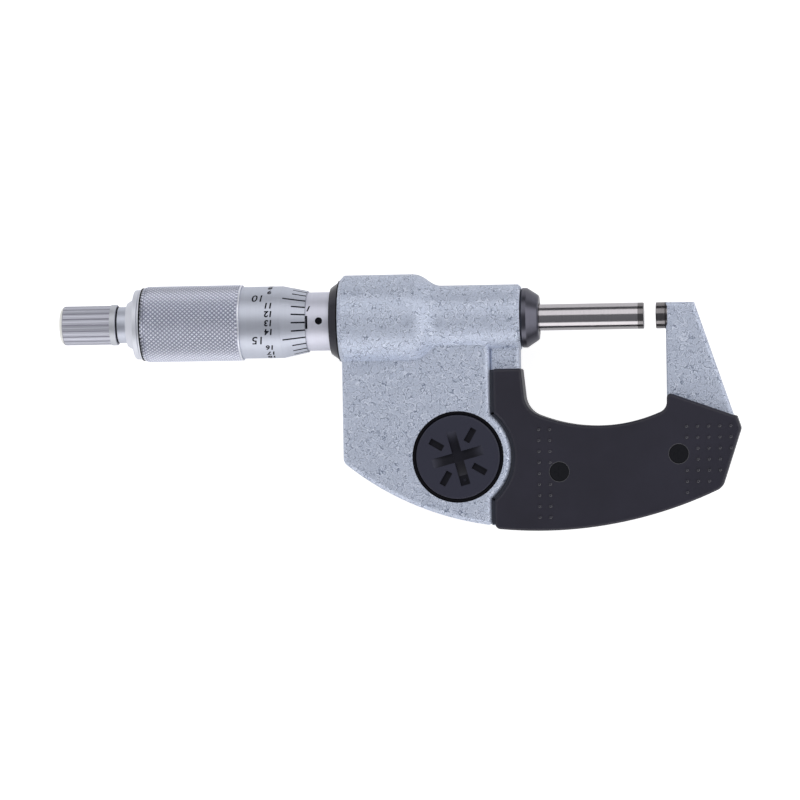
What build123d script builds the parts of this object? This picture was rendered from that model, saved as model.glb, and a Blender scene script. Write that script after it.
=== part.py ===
from build123d import *
from math import radians, sqrt, tan
import os

# Digital outside micrometer for 0 to 25.4 mm, all sizes in millimetres.
# The spindle's axis is the X axis, with the anvil towards +X. The flat back looks up, towards +Z,
# and the display looks down. The origin is the centre of the anvil's measuring face.

# Measuring line
spindle_radius = 3.175
lapped_gap = 0.02            # radial, wherever the spindle runs in a guide
travel = 25.4
rest_opening = 2.87          # between the measuring faces, as the part is drawn
tip_length = 1.45            # carbide on the spindle
anvil_reach = 2.8            # anvil's face to the spot face of the arm
anvil_tip_length = 1.4
anvil_stem_radius = 2.2
anvil_stem_length = 5.0
face_chamfer = 0.12

# Round barrel of the casting
nose_reach = 32.4            # anvil's face to the barrel's nose
nose_radius = 8.1
nose_length = 18.9
blend_length = 7.3           # S curve between the two diameters
head_radius = 11.0
head_length = 17.4
barrel_chamfer = 1.0
nose_round = 0.6
bush_radius = 4.75
bush_length = 21.0
bush_setback = 4.1           # nose to the bush
chamber_radius = 9.2         # rear bore, which takes the barrel nut
encoder_radius = 8.9         # bore round the encoder
chamber_step_radius = 8.0    # free space in front of the encoder
chamber_step_length = 2.2

# Bow of the casting, with the throat
bow_half = 3.6               # half its thickness
bow_round = 0.9
neck_setback = 0.4           # nose to the throat's side under it
throat_depth = 26.6
throat_arc = 37.7
throat_shift = 1.1           # lowest point of the throat, off its middle towards the anvil
throat_lean = 4.0            # degrees, throat's side below the covers' top
throat_corner_nose = 5.5
throat_corner_arm = 2.6
arm_top = 3.05
arm_top_width = 6.75
arm_lean = 18.5              # degrees, outer side of the arm
arm_shoulder_depth = 27.3    # where the outer side turns back
arm_foot_lean = 18.3         # degrees, below the shoulder
bow_foot_depth = 50.5
bow_foot_arc = 99.3
bow_foot_offset = 5.1        # lowest point of the lower edge, from the throat's side
bow_corner = 2.1
spot_radius = 4.1
spot_depth = 0.4

# Flat head of the casting, which carries the battery and the display
panel_back = 5.0
panel_front = 6.0
panel_round = 1.5
panel_left_inset = 0.4       # barrel's rear end to the flank
panel_right_gap = 7.1        # flank to the throat's side
panel_flank_depth = 34.2
panel_foot_arc = 70.0
panel_corner = 2.2
panel_foot_corner = 0.8
panel_wall = 2.0
panel_floor = 1.8            # thickness of the back wall
cavity_top_depth = 12.6      # below the spindle's axis
boss_radius = 2.4

# Battery and its cap
cap_radius = 10.1
cap_ring_width = 0.85
cap_gap = 0.05
seal_gap = 0.05              # sealing ring in its counterbore
cap_bulge = 12.8             # raised metal round the cap
cap_boss_drop = 11.75        # upper screws of the bezel to the cap's centre
cap_right_gap = 7.9          # cap's centre to the head's right flank
cap_foot_gap = 16.55         # cap's centre to the foot of the head's right flank
cap_thickness = 1.9
cap_proud = 0.15
cap_thread_radius = 8.6
cap_thread_length = 2.6
cap_thread_gap = 0.05
cap_crown_round = 0.35
coin_slot_width = 2.3
coin_slot_depth = 1.25
coin_slot_reach = 6.3
coin_slot_turn = 15.0        # degrees
pocket_radius = 5.95
pocket_length = 3.6
pocket_width = 1.55
pocket_depth = 0.85
mark_inner = 4.6
mark_outer = 7.0
well_wall = 1.15
battery_radius = 5.8
battery_height = 5.2
battery_gap = 0.15
holder_wall = 2.2

# Heat covers on both sides of the bow
cover_wall = 0.7             # skirt round the outer edge of the bow
cover_lip = 0.4              # skirt round the throat
cover_face = 1.6
cover_round = 0.75
cover_top_depth = 12.2
cover_groove = 0.8           # dark gap beside the flat head
cover_peak_rise = 8.9        # arm's shoulder to the cover's upper edge at the inner face
cover_slope = 19.8           # degrees, upper edge across the arm
cover_corner = 0.6
cover_peak_corner = 1.0
cover_tip_corner = 1.5       # upper corner at the arm's outer side
cover_foot_corner = 1.3
screw_left = (9.3, 37.1)     # throat's side to the screw, depth below the axis
screw_right = (37.9, 33.2)
screw_head_radius = 2.25
screw_head_height = 0.7
screw_recess_radius = 2.38
screw_sink = 0.6             # head below the cover's face
screw_radius = 1.2
cover_boss_radius = 2.6
insert_radius = 1.9
insert_length = 2.6

# Display side
bezel_depth = 7.0
bezel_inset = 0.4
bezel_wall = 1.6
bezel_face = 1.4
bezel_top = 7.5
bezel_corner = 4.0
bezel_round = 1.1
gasket_height = 0.4
window_length = 28.0
window_height = 11.5
window_depth = 12.7          # its centre below the spindle's axis
window_thickness = 0.85
window_sink = 0.15
window_ledge = 1.4
lcd_thickness = 1.5
lcd_margin = 0.4
strip_width = 1.6
board_thickness = 1.0
board_gap = 0.35
mat_thickness = 0.2
key_radius = 3.1
key_row_depth = 27.6
key_pitch = 10.6
hold_length = 12.0
hold_width = 5.8
hold_depth = 37.6
hold_shift = 6.6             # towards the throat from the middle of the head
key_sink = 0.25
key_gap = 0.12
key_flange = 0.7
key_flange_height = 0.6
mat_margin = 0.8             # key mat beyond the keys at its sides
mat_rise = 1.2               # key mat above the row of round keys
key_play = 0.45              # free height under a key, a little over its travel
bezel_screw_radius = 0.9
bezel_screw_head_radius = 1.7
bezel_screw_head_height = 1.1
bezel_screw_length = 6.0
bezel_screw_drop = 3.0       # window's lower edge to the upper screws
bezel_screw_shift = 3.0      # lower rear screw, from the upper one

# Data port on the rear flank
port_length = 12.0
port_height = 6.0
port_boss_gap = 0.15         # hole to the screw boss above it
port_level = -1.4
port_recess = 1.2
port_hole_length = 4.8
port_hole_height = 3.0
port_screw_pitch = 9.2
port_screw_radius = 0.7
port_screw_head_radius = 1.25
port_screw_length = 2.6
connector_depth = 3.0

# Barrel nut, sleeves and nut thread
nut_cone_length = 2.3
nut_small_radius = 8.1
nut_large_radius = 9.75
nut_spigot_length = 4.0
sleeve_radius = 7.075
sleeve_wall = 0.745
sleeve_gap = 0.03            # radial, sleeve on its core and in the barrel nut
core_flange_length = 2.0
core_front_length = 3.0
core_bore_radius = 4.3
thread_radius = 3.7
nut_thread_length = 10.0
adjusting_nut_length = 4.5
adjusting_nut_wall = 1.4
spanner_hole_radius = 0.875
spanner_hole_offset = 2.44   # barrel nut's face to the hole

# Encoder
rotor_hub_radius = 4.63
rotor_hub_gap = 0.03
rotor_hub_length = 4.0
rotor_flange_radius = 5.6
rotor_flange_length = 1.8
rotor_end_gap = 0.1
rotor_radius = 8.3
rotor_thickness = 0.8
encoder_air_gap = 0.4
stator_thickness = 1.2
stator_bore_radius = 5.0
key_pin_radius = 0.5
groove_depth = 0.9
groove_gap = 0.03
lead_width = 3.2
lead_thickness = 0.3

# Clamp ring on the nose
clamp_gap = 0.15
clamp_length = 4.18
clamp_radius = 7.2
clamp_band_length = 1.35
clamp_nose_radius = 5.55
clamp_wall = 1.0
clamp_bore_gap = 0.05
clamp_mouth_gap = 0.3
collet_seat_length = 2.4
collet_slot = 0.7
wiper_length = 1.5

# Thimble
thimble_zero_gap = 2.8       # barrel nut to the thimble's edge with the faces closed
thimble_edge_radius = 7.4
thimble_radius = 8.7
thimble_bevel_length = 6.0
thimble_band_length = 9.95
thimble_gap = 0.1            # radial, thimble over sleeve
thimble_end_wall = 2.8
sleeve_end_gap = 1.4         # sleeve to the thimble's end wall with the faces closed
grip_length = 24.7
grip_radius = 9.2
grip_wall = 1.2
grip_chamfer_length = 1.4
grip_chamfer_radius = 8.45
tail_radius = 3.0
tail_thread_radius = 2.5
tail_thread_length = 2.5
cap_seat_radius = 7.4
cap_seat_length = 0.3
flange_radius = 8.45
flange_length = 1.35
cap_cone_large = 6.5
cap_cone_small = 5.35
cap_cone_length = 1.9

# Ratchet stop
neck_radius = 4.4
neck_length = 2.45
ratchet_end_gap = 0.1
ratchet_length = 13.95
collar_radius = 4.95
collar_length = 1.45
knob_radius = 4.75
knob_round = 1.4
flute_count = 20
flute_radius = 0.26
knob_bore_radius = 3.7
knob_web = 1.5
knob_recess_depth = 1.8
knob_recess_radius = 2.75
seat_spigot_length = 2.4
seat_gap = 0.06
tooth_count = 16
tooth_height = 0.6
tooth_width = 0.8
tooth_inner_radius = 2.2
tooth_tip_gap = 0.05
crown_length = 1.8
axle_radius = 1.5
axle_gap = 0.05
axle_head_radius = 2.5
axle_head_height = 1.3
axle_grip_length = 4.5       # threaded into the spindle's tail
spring_radius = 2.7
spring_wire = 0.45
spring_turns = 3.5
spring_end_gap = 0.05

# Places along the axis, worked out from the anvil's face
nose_x = -nose_reach
blend_front_x = nose_x - nose_length
blend_rear_x = blend_front_x - blend_length
head_x = blend_rear_x - head_length
throat_x = nose_x - neck_setback
arm_x = anvil_reach - spot_depth
nut_x = head_x - nut_cone_length
flange_rear_x = head_x + nut_spigot_length
flange_front_x = flange_rear_x + core_flange_length
core_front_x = flange_front_x + core_front_length
rotor_flange_x = core_front_x + rotor_end_gap
rotor_x = rotor_flange_x + rotor_flange_length
stator_x = rotor_x + rotor_thickness + encoder_air_gap
stator_seat_x = stator_x + stator_thickness
chamber_end_x = stator_seat_x + chamber_step_length
thimble_edge_x = nut_x - thimble_zero_gap - rest_opening
thimble_band_x = thimble_edge_x - thimble_bevel_length
grip_front_x = thimble_band_x - thimble_band_length
grip_rear_x = grip_front_x - grip_length
cavity_end_x = grip_rear_x + thimble_end_wall
sleeve_rear_x = cavity_end_x + rest_opening + sleeve_end_gap
nut_thread_x = sleeve_rear_x + nut_thread_length
flange_x = grip_rear_x - cap_seat_length
cone_x = flange_x - flange_length
neck_x = cone_x - cap_cone_length
ratchet_front_x = neck_x - neck_length - ratchet_end_gap
ratchet_rear_x = ratchet_front_x - ratchet_length
web_rear_x = ratchet_rear_x + knob_recess_depth
web_front_x = web_rear_x + knob_web
seat_rear_x = neck_x - neck_length - seat_spigot_length
crown_front_x = seat_rear_x - 2 * tooth_height - tooth_tip_gap
crown_rear_x = crown_front_x - crown_length
spindle_face_x = -rest_opening

# Places seen from the back
panel_left = head_x + panel_left_inset
panel_right = throat_x - panel_right_gap
panel_middle = (panel_left + panel_right) / 2
cap_x = panel_right - cap_right_gap
upper_boss_depth = window_depth + window_height / 2 + bezel_screw_drop
cap_depth = upper_boss_depth + cap_boss_drop
cap_y = -cap_depth
panel_foot_depth = cap_depth + cap_foot_gap
throat_middle = (throat_x + arm_x) / 2 + throat_shift
bow_foot_x = throat_x + bow_foot_offset
cover_left = panel_right + cover_groove
cover_out = bow_half + cover_face
cover_peak_depth = arm_shoulder_depth - cover_peak_rise
port_depth = upper_boss_depth + boss_radius + port_boss_gap + port_hole_length / 2
bezel_z = -panel_front - bezel_depth
bezel_seat_z = -panel_front - gasket_height
bezel_inner_z = bezel_z + bezel_face
board_z = -panel_front - board_thickness
mat_z = board_z - mat_thickness
core_radius = sleeve_radius - sleeve_wall - sleeve_gap
cap_ring_radius = cap_radius + cap_gap + cap_ring_width
well_radius = cap_ring_radius + well_wall
far = 200.0                  # reach of cutting and trimming bodies


def turned(points, rounds=0.0):
    # Solid of revolution about the X axis from (x, radius) corners.
    radii = rounds if isinstance(rounds, list) else [rounds] * len(points)
    if any(radii):
        outline = FilletPolyline(*points, radius=radii, close=True)
    else:
        outline = Polyline(*points, close=True)
    return revolve(make_face(outline), axis=Axis.X)


def ring(x_rear, x_front, outer, inner):
    return turned([(x_rear, inner), (x_front, inner), (x_front, outer), (x_rear, outer)])


def rod(x_rear, x_front, radius):
    bottom = (Align.CENTER, Align.CENTER, Align.MIN)
    return Pos(x_rear, 0, 0) * Rot(0, 90, 0) * Cylinder(radius, x_front - x_rear, align=bottom)


def slab(face, z_low, z_high):
    return Pos(0, 0, z_low) * extrude(face, z_high - z_low)


def block(x_low, x_high, y_low, y_high, z_low, z_high):
    size = (x_high - x_low, y_high - y_low, z_high - z_low)
    return Pos(x_low, y_low, z_low) * Box(*size, align=(Align.MIN, Align.MIN, Align.MIN))


def post(x, y, z_low, z_high, radius):
    bottom = (Align.CENTER, Align.CENTER, Align.MIN)
    return Pos(x, y, z_low) * Cylinder(radius, z_high - z_low, align=bottom)


def area(x_low, x_high, y_low, y_high):
    return Pos((x_low + x_high) / 2, (y_low + y_high) / 2) * Rectangle(x_high - x_low, y_high - y_low)


def nearest(shape, x, y):
    return shape.vertices().sort_by_distance((x, y, 0))[0]


def arc_height(x, centre_x, lowest, radius):
    # Height of a hanging arc at x, from its lowest point.
    return lowest + radius - sqrt(radius ** 2 - (x - centre_x) ** 2)


# Outlines seen from the back

def throat_face(lip=0.0):
    # Open space between the nose and the anvil's arm, less a lip on its lower and left sides.
    lowest = lip - throat_depth
    side_x = throat_x + lip
    left_x = side_x + (throat_depth - cover_top_depth) * tan(radians(throat_lean))
    left_y = arc_height(left_x, throat_middle, lowest, throat_arc)
    right_y = arc_height(arm_x, throat_middle, lowest, throat_arc)
    top = arm_top + far
    sides = [
        Line((side_x, top), (side_x, -cover_top_depth)),
        Line((side_x, -cover_top_depth), (left_x, left_y)),
        ThreePointArc((left_x, left_y), (throat_middle, lowest), (arm_x, right_y)),
        Line((arm_x, right_y), (arm_x, top)),
        Line((arm_x, top), (side_x, top)),
    ]
    face = make_face(sides)
    face = fillet(nearest(face, left_x, left_y), throat_corner_nose)
    return fillet(nearest(face, arm_x, right_y), throat_corner_arm)


def bow_face():
    # Bow and arm: straight sides above a long hanging arc, less the throat.
    top_x = arm_x + arm_top_width
    shoulder_x = top_x + (arm_top + arm_shoulder_depth) * tan(radians(arm_lean))
    foot_x = shoulder_x - (far - arm_shoulder_depth) * tan(radians(arm_foot_lean))
    straight = Polyline(
        (panel_right, -far),
        (foot_x, -far),
        (shoulder_x, -arm_shoulder_depth),
        (top_x, arm_top),
        (panel_right, arm_top),
        close=True,
    )
    disc = Pos(bow_foot_x, bow_foot_arc - bow_foot_depth) * Circle(bow_foot_arc)
    face = make_face(straight) & disc
    corner = face.vertices().filter_by(lambda v: v.X > arm_x).sort_by(Axis.Y)[0]
    return fillet(corner, bow_corner) - throat_face()


def head_face(inset, top):
    # Flat head: two flanks and a shallow curved foot, cut off level at the top.
    start = (panel_left, -panel_flank_depth)
    end = (panel_right, -panel_foot_depth)
    sides = [
        Line((panel_left, far), start),
        RadiusArc(start, end, -panel_foot_arc),
        Line(end, (panel_right, far)),
        Line((panel_right, far), (panel_left, far)),
    ]
    face = make_face(sides)
    face = fillet(nearest(face, *start), panel_corner)
    face = fillet(nearest(face, *end), panel_foot_corner)
    if inset:
        face = offset(face, amount=-inset, kind=Kind.ARC)
    return face & area(panel_left - 1, panel_right + 1, -far, top)


def cover_outline():
    # Heat cover: the bow with a skirt round its outer edge, trimmed beside the head and the arm.
    slope = tan(radians(cover_slope))
    peak_y = -cover_peak_depth
    trim = Polyline(
        (cover_left, -cover_top_depth),
        (throat_middle, -cover_top_depth),
        (throat_middle, peak_y + (arm_x - throat_middle) * slope),
        (arm_x + far, peak_y - far * slope),
        (arm_x + far, -far),
        (cover_left, -far),
        close=True,
    )
    bulge = Pos(cap_x, cap_y) * Circle(cap_bulge + cover_groove)
    face = offset(bow_face(), amount=cover_wall, kind=Kind.INTERSECTION) & make_face(trim)
    face = face - throat_face(cover_lip) - bulge
    face = face.faces().sort_by(SortBy.AREA)[-1]
    face = fillet(nearest(face, cover_left, -cover_top_depth), cover_corner)
    face = fillet(nearest(face, throat_x + cover_lip, -cover_top_depth), cover_corner)
    face = fillet(nearest(face, arm_x, peak_y), cover_peak_corner)
    face = fillet(nearest(face, arm_x + far, -far * slope), cover_tip_corner)
    return fillet(nearest(face, cover_left, -bow_foot_depth - cover_wall), cover_foot_corner)


# Casting

def barrel_form(grow=0.0):
    # Outer skin of the barrel: wide over the encoder, an S curve, then the slim nose.
    wide = head_radius + grow
    slim = nose_radius + grow
    sides = [
        Line((head_x - grow, 0), (head_x - grow, wide - barrel_chamfer)),
        Line((head_x - grow, wide - barrel_chamfer), (head_x - grow + barrel_chamfer, wide)),
        Line((head_x - grow + barrel_chamfer, wide), (blend_rear_x, wide)),
        Spline((blend_rear_x, wide), (blend_front_x, slim), tangents=[(1, 0), (1, 0)]),
        Line((blend_front_x, slim), (nose_x - nose_round, slim)),
        Line((nose_x - nose_round, slim), (nose_x, slim - nose_round)),
        Line((nose_x, slim - nose_round), (nose_x, 0)),
        Line((nose_x, 0), (head_x - grow, 0)),
    ]
    return revolve(make_face(sides), axis=Axis.X)


def screw_places():
    return [(throat_x + along, -depth) for along, depth in (screw_left, screw_right)]


def boss_places():
    # Four bosses in the corners of the head take the bezel's screws.
    inset = panel_wall + boss_radius * 0.85
    left = panel_left + inset
    right = panel_right - inset
    return [
        (left, -upper_boss_depth),
        (right, -upper_boss_depth),
        (left + bezel_screw_shift, -panel_flank_depth),
        (right, -panel_foot_depth + inset + boss_radius * 0.4),
    ]


def key_places():
    return [(panel_middle + step * key_pitch, -key_row_depth) for step in (-1, 0, 1)]


def hold_place():
    return panel_middle + hold_shift, -hold_depth


def make_frame():
    head = slab(head_face(0, 0), -panel_front, panel_back)
    bulge = post(cap_x, cap_y, -bow_half, panel_back, cap_bulge)
    head = head + bulge
    rim = head.edges().filter_by(lambda e: abs(e.center().Z - panel_back) < 1e-6 and e.center().Y < -1)
    head = fillet(rim, panel_round)
    bow = slab(bow_face(), -bow_half, bow_half)
    faces = bow.faces().filter_by(Axis.Z)
    bow = fillet(faces[0].edges() + faces[-1].edges(), bow_round)
    casting = barrel_form() + head + bow

    # Front pocket for the electronics, with the battery well and the screw bosses left standing
    pocket = slab(head_face(panel_wall, -cavity_top_depth), -panel_front, panel_back - panel_floor)
    pocket -= post(cap_x, cap_y, cap_floor_z() - cap_thread_length, panel_back, well_radius)
    for x, y in boss_places():
        pocket -= post(x, y, -panel_front, panel_back, boss_radius)
    casting -= pocket
    for x, y in boss_places():
        casting -= post(x, y, -panel_front, -panel_front + bezel_screw_length - 2, bezel_screw_radius)

    # Battery well, open to the back
    casting -= post(cap_x, cap_y, cap_floor_z(), panel_back + 1, cap_ring_radius)
    casting -= post(cap_x, cap_y, -panel_front, cap_floor_z(), cap_thread_radius + cap_thread_gap)

    # Bores along the spindle
    casting -= rod(head_x - 1, flange_front_x, chamber_radius)
    casting -= rod(head_x - 1, stator_seat_x, encoder_radius)
    casting -= rod(head_x - 1, chamber_end_x, chamber_step_radius)
    casting -= rod(head_x - 1, nose_x + 1, bush_radius)
    casting -= rod(arm_x - 1, anvil_reach, spot_radius)
    casting -= rod(0, anvil_reach + anvil_stem_length, anvil_stem_radius)

    # Slot for the encoder's lead
    casting -= block(
        stator_x - lead_thickness - 0.6, stator_x + 0.2,
        -cavity_top_depth - 1, -encoder_radius + 1,
        -panel_front + 1, -panel_front + 1.6 + lead_width,
    )

    # Screw holes through the bow, wider in front for the cover's bosses
    for x, y in screw_places():
        casting -= post(x, y, -bow_half, bow_half, screw_radius + 0.3)
        casting -= post(x, y, -bow_half, insert_length - bow_half + 0.4, cover_boss_radius + 0.05)

    # Data port in the rear flank
    half = port_length / 2
    tall = port_height / 2
    casting -= block(
        panel_left - 1, panel_left + port_recess,
        -port_depth - half, -port_depth + half, port_level - tall, port_level + tall,
    )
    casting -= block(
        panel_left - 1, panel_left + panel_wall + 1,
        -port_depth - port_hole_length / 2, -port_depth + port_hole_length / 2,
        port_level - port_hole_height / 2, port_level + port_hole_height / 2,
    )
    for y in port_screw_heights():
        casting -= side_post(panel_left - 1, panel_left + panel_wall + 1, y, port_screw_radius)
    return casting


def cap_floor_z():
    return panel_back + cap_proud - cap_thickness


def port_screw_heights():
    return [-port_depth - port_screw_pitch / 2, -port_depth + port_screw_pitch / 2]


def side_post(x_low, x_high, y, radius):
    return Pos(0, y, port_level) * rod(x_low, x_high, radius)


# Anvil

def make_anvil():
    body = rod(anvil_tip_length, anvil_reach, spindle_radius)
    return body + rod(anvil_reach, anvil_reach + anvil_stem_length, anvil_stem_radius)


def measuring_tip(x_face, x_back):
    # Carbide disc with a fine chamfer on its lapped face.
    lean = face_chamfer if x_back > x_face else -face_chamfer
    return turned([
        (x_back, 0), (x_face, 0), (x_face, spindle_radius - face_chamfer),
        (x_face + lean, spindle_radius), (x_back, spindle_radius),
    ])


# Heat covers

def make_cover():
    # Back cover: a shell over one side of the bow, with sunk holes for the two screws.
    shell = slab(cover_outline(), 0, cover_out)
    shell = fillet(shell.faces().sort_by(Axis.Z)[-1].edges(), cover_round)
    shell -= slab(bow_face(), 0, bow_half)
    return shell


def make_back_cover():
    cover = make_cover()
    for x, y in screw_places():
        cover -= post(x, y, bow_half, cover_out + 1, screw_radius + 0.15)
        cover -= post(x, y, screw_seat_z(), cover_out + 1, screw_recess_radius)
    return cover


def screw_seat_z():
    return cover_out - screw_sink - screw_head_height


def make_front_cover():
    cover = mirror(make_cover(), about=Plane.XY)
    for x, y in screw_places():
        boss = post(x, y, -bow_half, -bow_half + insert_length, cover_boss_radius)
        cover = cover + boss
        cover -= post(x, y, -bow_half, -bow_half + insert_length, insert_radius)
    return cover


def make_cover_screws():
    screws = []
    for x, y in screw_places():
        seat = screw_seat_z()
        head = post(x, y, seat, seat + screw_head_height, screw_head_radius)
        shank = post(x, y, -bow_half + 0.3, seat, screw_radius)
        cross = cross_slot(0.55, 2.5, 0.5)
        screws.append(head + shank - Pos(x, y, seat + screw_head_height) * cross)
    return Compound(children=screws)


def cross_slot(width, length, depth):
    # Cross recess that opens upwards at z = 0.
    low = (Align.CENTER, Align.CENTER, Align.MAX)
    return Box(width, length, depth, align=low) + Box(length, width, depth, align=low)


def make_cover_inserts():
    inserts = []
    for x, y in screw_places():
        outside = post(x, y, -bow_half, -bow_half + insert_length, insert_radius)
        inserts.append(outside - post(x, y, -bow_half, bow_half, screw_radius))
    return Compound(children=inserts)


# Battery cap and battery

def make_battery_cap():
    top = panel_back + cap_proud
    cap = post(cap_x, cap_y, cap_floor_z(), top, cap_radius)
    cap = fillet(cap.faces().sort_by(Axis.Z)[-1].edges(), cap_crown_round)
    skirt_low = cap_floor_z() - cap_thread_length
    cap += post(cap_x, cap_y, skirt_low, cap_floor_z(), cap_thread_radius)
    cap -= post(cap_x, cap_y, skirt_low, cap_floor_z(), battery_radius + battery_gap + 1)

    # Two crossed coin slots: each is cut by a disc, so its floor runs out in a curve
    disc_radius = (coin_slot_reach ** 2 + coin_slot_depth ** 2) / (2 * coin_slot_depth)
    coin = Pos(0, 0, disc_radius - coin_slot_depth) * Rot(90, 0, 0) * Cylinder(disc_radius, coin_slot_width)
    for turn in (coin_slot_turn, coin_slot_turn + 90):
        cap -= Pos(cap_x, cap_y, top) * Rot(0, 0, turn) * coin

    # Square pockets between the slots, and the mark at the end of one slot
    for quarter in range(4):
        turn = coin_slot_turn + 45 + 90 * quarter
        pocket = Pos(pocket_radius, 0, 0) * Box(pocket_length, pocket_width, 2 * pocket_depth)
        cap -= Pos(cap_x, cap_y, top) * Rot(0, 0, turn) * pocket
    mark_length = mark_outer - mark_inner
    mark = Pos((mark_inner + mark_outer) / 2, 0, 0) * Box(mark_length, coin_slot_width, 2 * pocket_depth)
    mark -= Pos((mark_inner + mark_outer) / 2, 0, -pocket_depth) * Cylinder(0.35, 0.5)
    cap -= Pos(cap_x, cap_y, top) * Rot(0, 0, coin_slot_turn + 270) * mark
    return cap


def make_cap_seal():
    # Round sealing ring between the cap's rim and the casting.
    low = cap_floor_z()
    high = panel_back - 0.1
    seal = post(cap_x, cap_y, low, high, cap_ring_radius - seal_gap)
    seal -= post(cap_x, cap_y, low, high, cap_radius + cap_gap)
    return fillet(seal.edges().filter_by(lambda e: e.center().Z > high - 1e-6), cap_ring_width / 3)


def battery_top_z():
    return cap_floor_z() - battery_gap


def make_battery():
    top = battery_top_z()
    cell = post(cap_x, cap_y, top - battery_height, top, battery_radius)
    return fillet(cell.faces().sort_by(Axis.Z)[-1].edges(), 0.4)


def make_battery_holder():
    low = -panel_front
    high = cap_floor_z() - cap_thread_length - 0.2
    outer = battery_radius + battery_gap + holder_wall
    holder = post(cap_x, cap_y, low, high, outer)
    return holder - post(cap_x, cap_y, low, high, battery_radius + battery_gap)


def make_battery_contacts():
    # Bent leaf spring on the circuit board, which presses on the cell.
    low = -panel_front
    high = battery_top_z() - battery_height
    leaf = 0.25
    strip = Polyline(
        (cap_x - 3.6, low), (cap_x + 1.2, low), (cap_x + 1.2, low + leaf), (cap_x - 2.6, low + leaf),
        (cap_x + 1.6, high - leaf), (cap_x + 3.4, high - leaf), (cap_x + 3.4, high),
        (cap_x + 1.4, high), (cap_x - 3.6, low + leaf), close=True,
    )
    return extrude(Plane.XZ.offset(-cap_y - 1.5) * make_face(strip), 3.0)


# Display side

def make_bezel():
    outline = head_face(bezel_inset, bezel_top)
    for x in (panel_left + bezel_inset, panel_right - bezel_inset):
        outline = fillet(nearest(outline, x, bezel_top), bezel_corner)
    upper = outline & area(panel_left, panel_right, 0, far)
    shell = slab(outline, bezel_z, bezel_seat_z) + slab(upper, bezel_z, -nose_radius / 2)
    shell = fillet(shell.faces().sort_by(Axis.Z)[0].edges(), bezel_round)
    inside = head_face(bezel_inset + bezel_wall, bezel_top - bezel_wall)
    shell -= slab(inside, bezel_inner_z, 0)
    for x, y in boss_places():
        post_body = post(x, y, bezel_inner_z, bezel_seat_z, boss_radius)
        shell += post_body & slab(outline, bezel_z, 0)
    shell -= barrel_form(0.1)
    shell -= slab(window_area(0), bezel_z, bezel_z + window_sink + window_thickness)
    shell -= slab(window_area(window_ledge), bezel_z, bezel_inner_z)
    for x, y in key_places():
        shell -= post(x, y, bezel_z, bezel_inner_z, key_radius + key_gap)
    shell -= slab(hold_area(key_gap), bezel_z, bezel_inner_z)
    for x, y in boss_places():
        shell -= post(x, y, bezel_z, bezel_seat_z, bezel_screw_radius + 0.15)
        shell -= post(x, y, bezel_z, bezel_z + bezel_screw_head_height + 0.15, bezel_screw_head_radius + 0.15)
        shell -= post(x, y, board_z - 0.1, 0, boss_radius + 0.4)
    return shell


def window_area(inset):
    return Pos(panel_middle, -window_depth) * RectangleRounded(
        window_length - 2 * inset, window_height - 2 * inset, 1.2 if inset == 0 else 0.6
    )


def hold_area(grow):
    x, y = hold_place()
    return Pos(x, y) * SlotOverall(hold_length + 2 * grow, hold_width + 2 * grow)


def make_gasket():
    band = head_face(bezel_inset, -head_radius) - head_face(bezel_inset + bezel_wall, 0)
    return slab(band, bezel_seat_z, -panel_front)


def make_window():
    clear = 0.05
    face = Pos(panel_middle, -window_depth) * RectangleRounded(
        window_length - 2 * clear, window_height - 2 * clear, 1.15
    )
    low = bezel_z + window_sink
    return slab(face, low, low + window_thickness)


def lcd_z():
    return bezel_inner_z + lcd_thickness


def make_lcd():
    half_length = window_length / 2 - window_ledge + lcd_margin
    half_height = window_height / 2 - window_ledge + lcd_margin
    return block(
        panel_middle - half_length, panel_middle + half_length,
        -window_depth - half_height, -window_depth + half_height, bezel_inner_z, lcd_z(),
    )


def make_contact_strip():
    # Rubber strip that joins the panel to the circuit board along its lower edge.
    half_length = window_length / 2 - window_ledge - 0.5
    low_y = -window_depth - window_height / 2 + window_ledge
    return block(
        panel_middle - half_length, panel_middle + half_length,
        low_y, low_y + strip_width, lcd_z(), board_z,
    )


def make_board():
    face = head_face(bezel_inset + bezel_wall + board_gap, -cavity_top_depth - board_gap)
    board = slab(face, board_z, -panel_front)
    for x, y in boss_places():
        board -= post(x, y, board_z, -panel_front, bezel_screw_radius + 0.4)
    return board


def make_key_mat():
    x_hold, y_hold = hold_place()
    low = y_hold - hold_width / 2 - mat_margin
    row_low = -key_row_depth - key_radius - mat_margin
    row_high = -key_row_depth + key_radius + mat_rise
    reach = key_pitch + key_radius + mat_margin
    hold_left = x_hold - hold_length / 2 - mat_margin
    mat = block(panel_middle - reach, panel_middle + reach, row_low, row_high, mat_z, board_z)
    mat += block(hold_left, panel_middle + reach, low, row_high, mat_z, board_z)
    for x, y in boss_places():
        mat -= post(x, y, mat_z, board_z, boss_radius + 0.2)
    return mat


def key_body(face, flange_face):
    # Key cap with a flange that keeps it behind the bezel.
    top = bezel_z + key_sink
    foot = mat_z - key_play
    cap = slab(face, top, foot)
    cap = fillet(cap.faces().sort_by(Axis.Z)[0].edges(), 0.3)
    flange_low = bezel_inner_z + 0.02
    return cap + slab(flange_face, flange_low, flange_low + key_flange_height)


def make_round_key(place):
    x, y = place
    return key_body(Pos(x, y) * Circle(key_radius), Pos(x, y) * Circle(key_radius + key_flange))


def make_hold_key():
    return key_body(hold_area(0), hold_area(key_flange))


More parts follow.
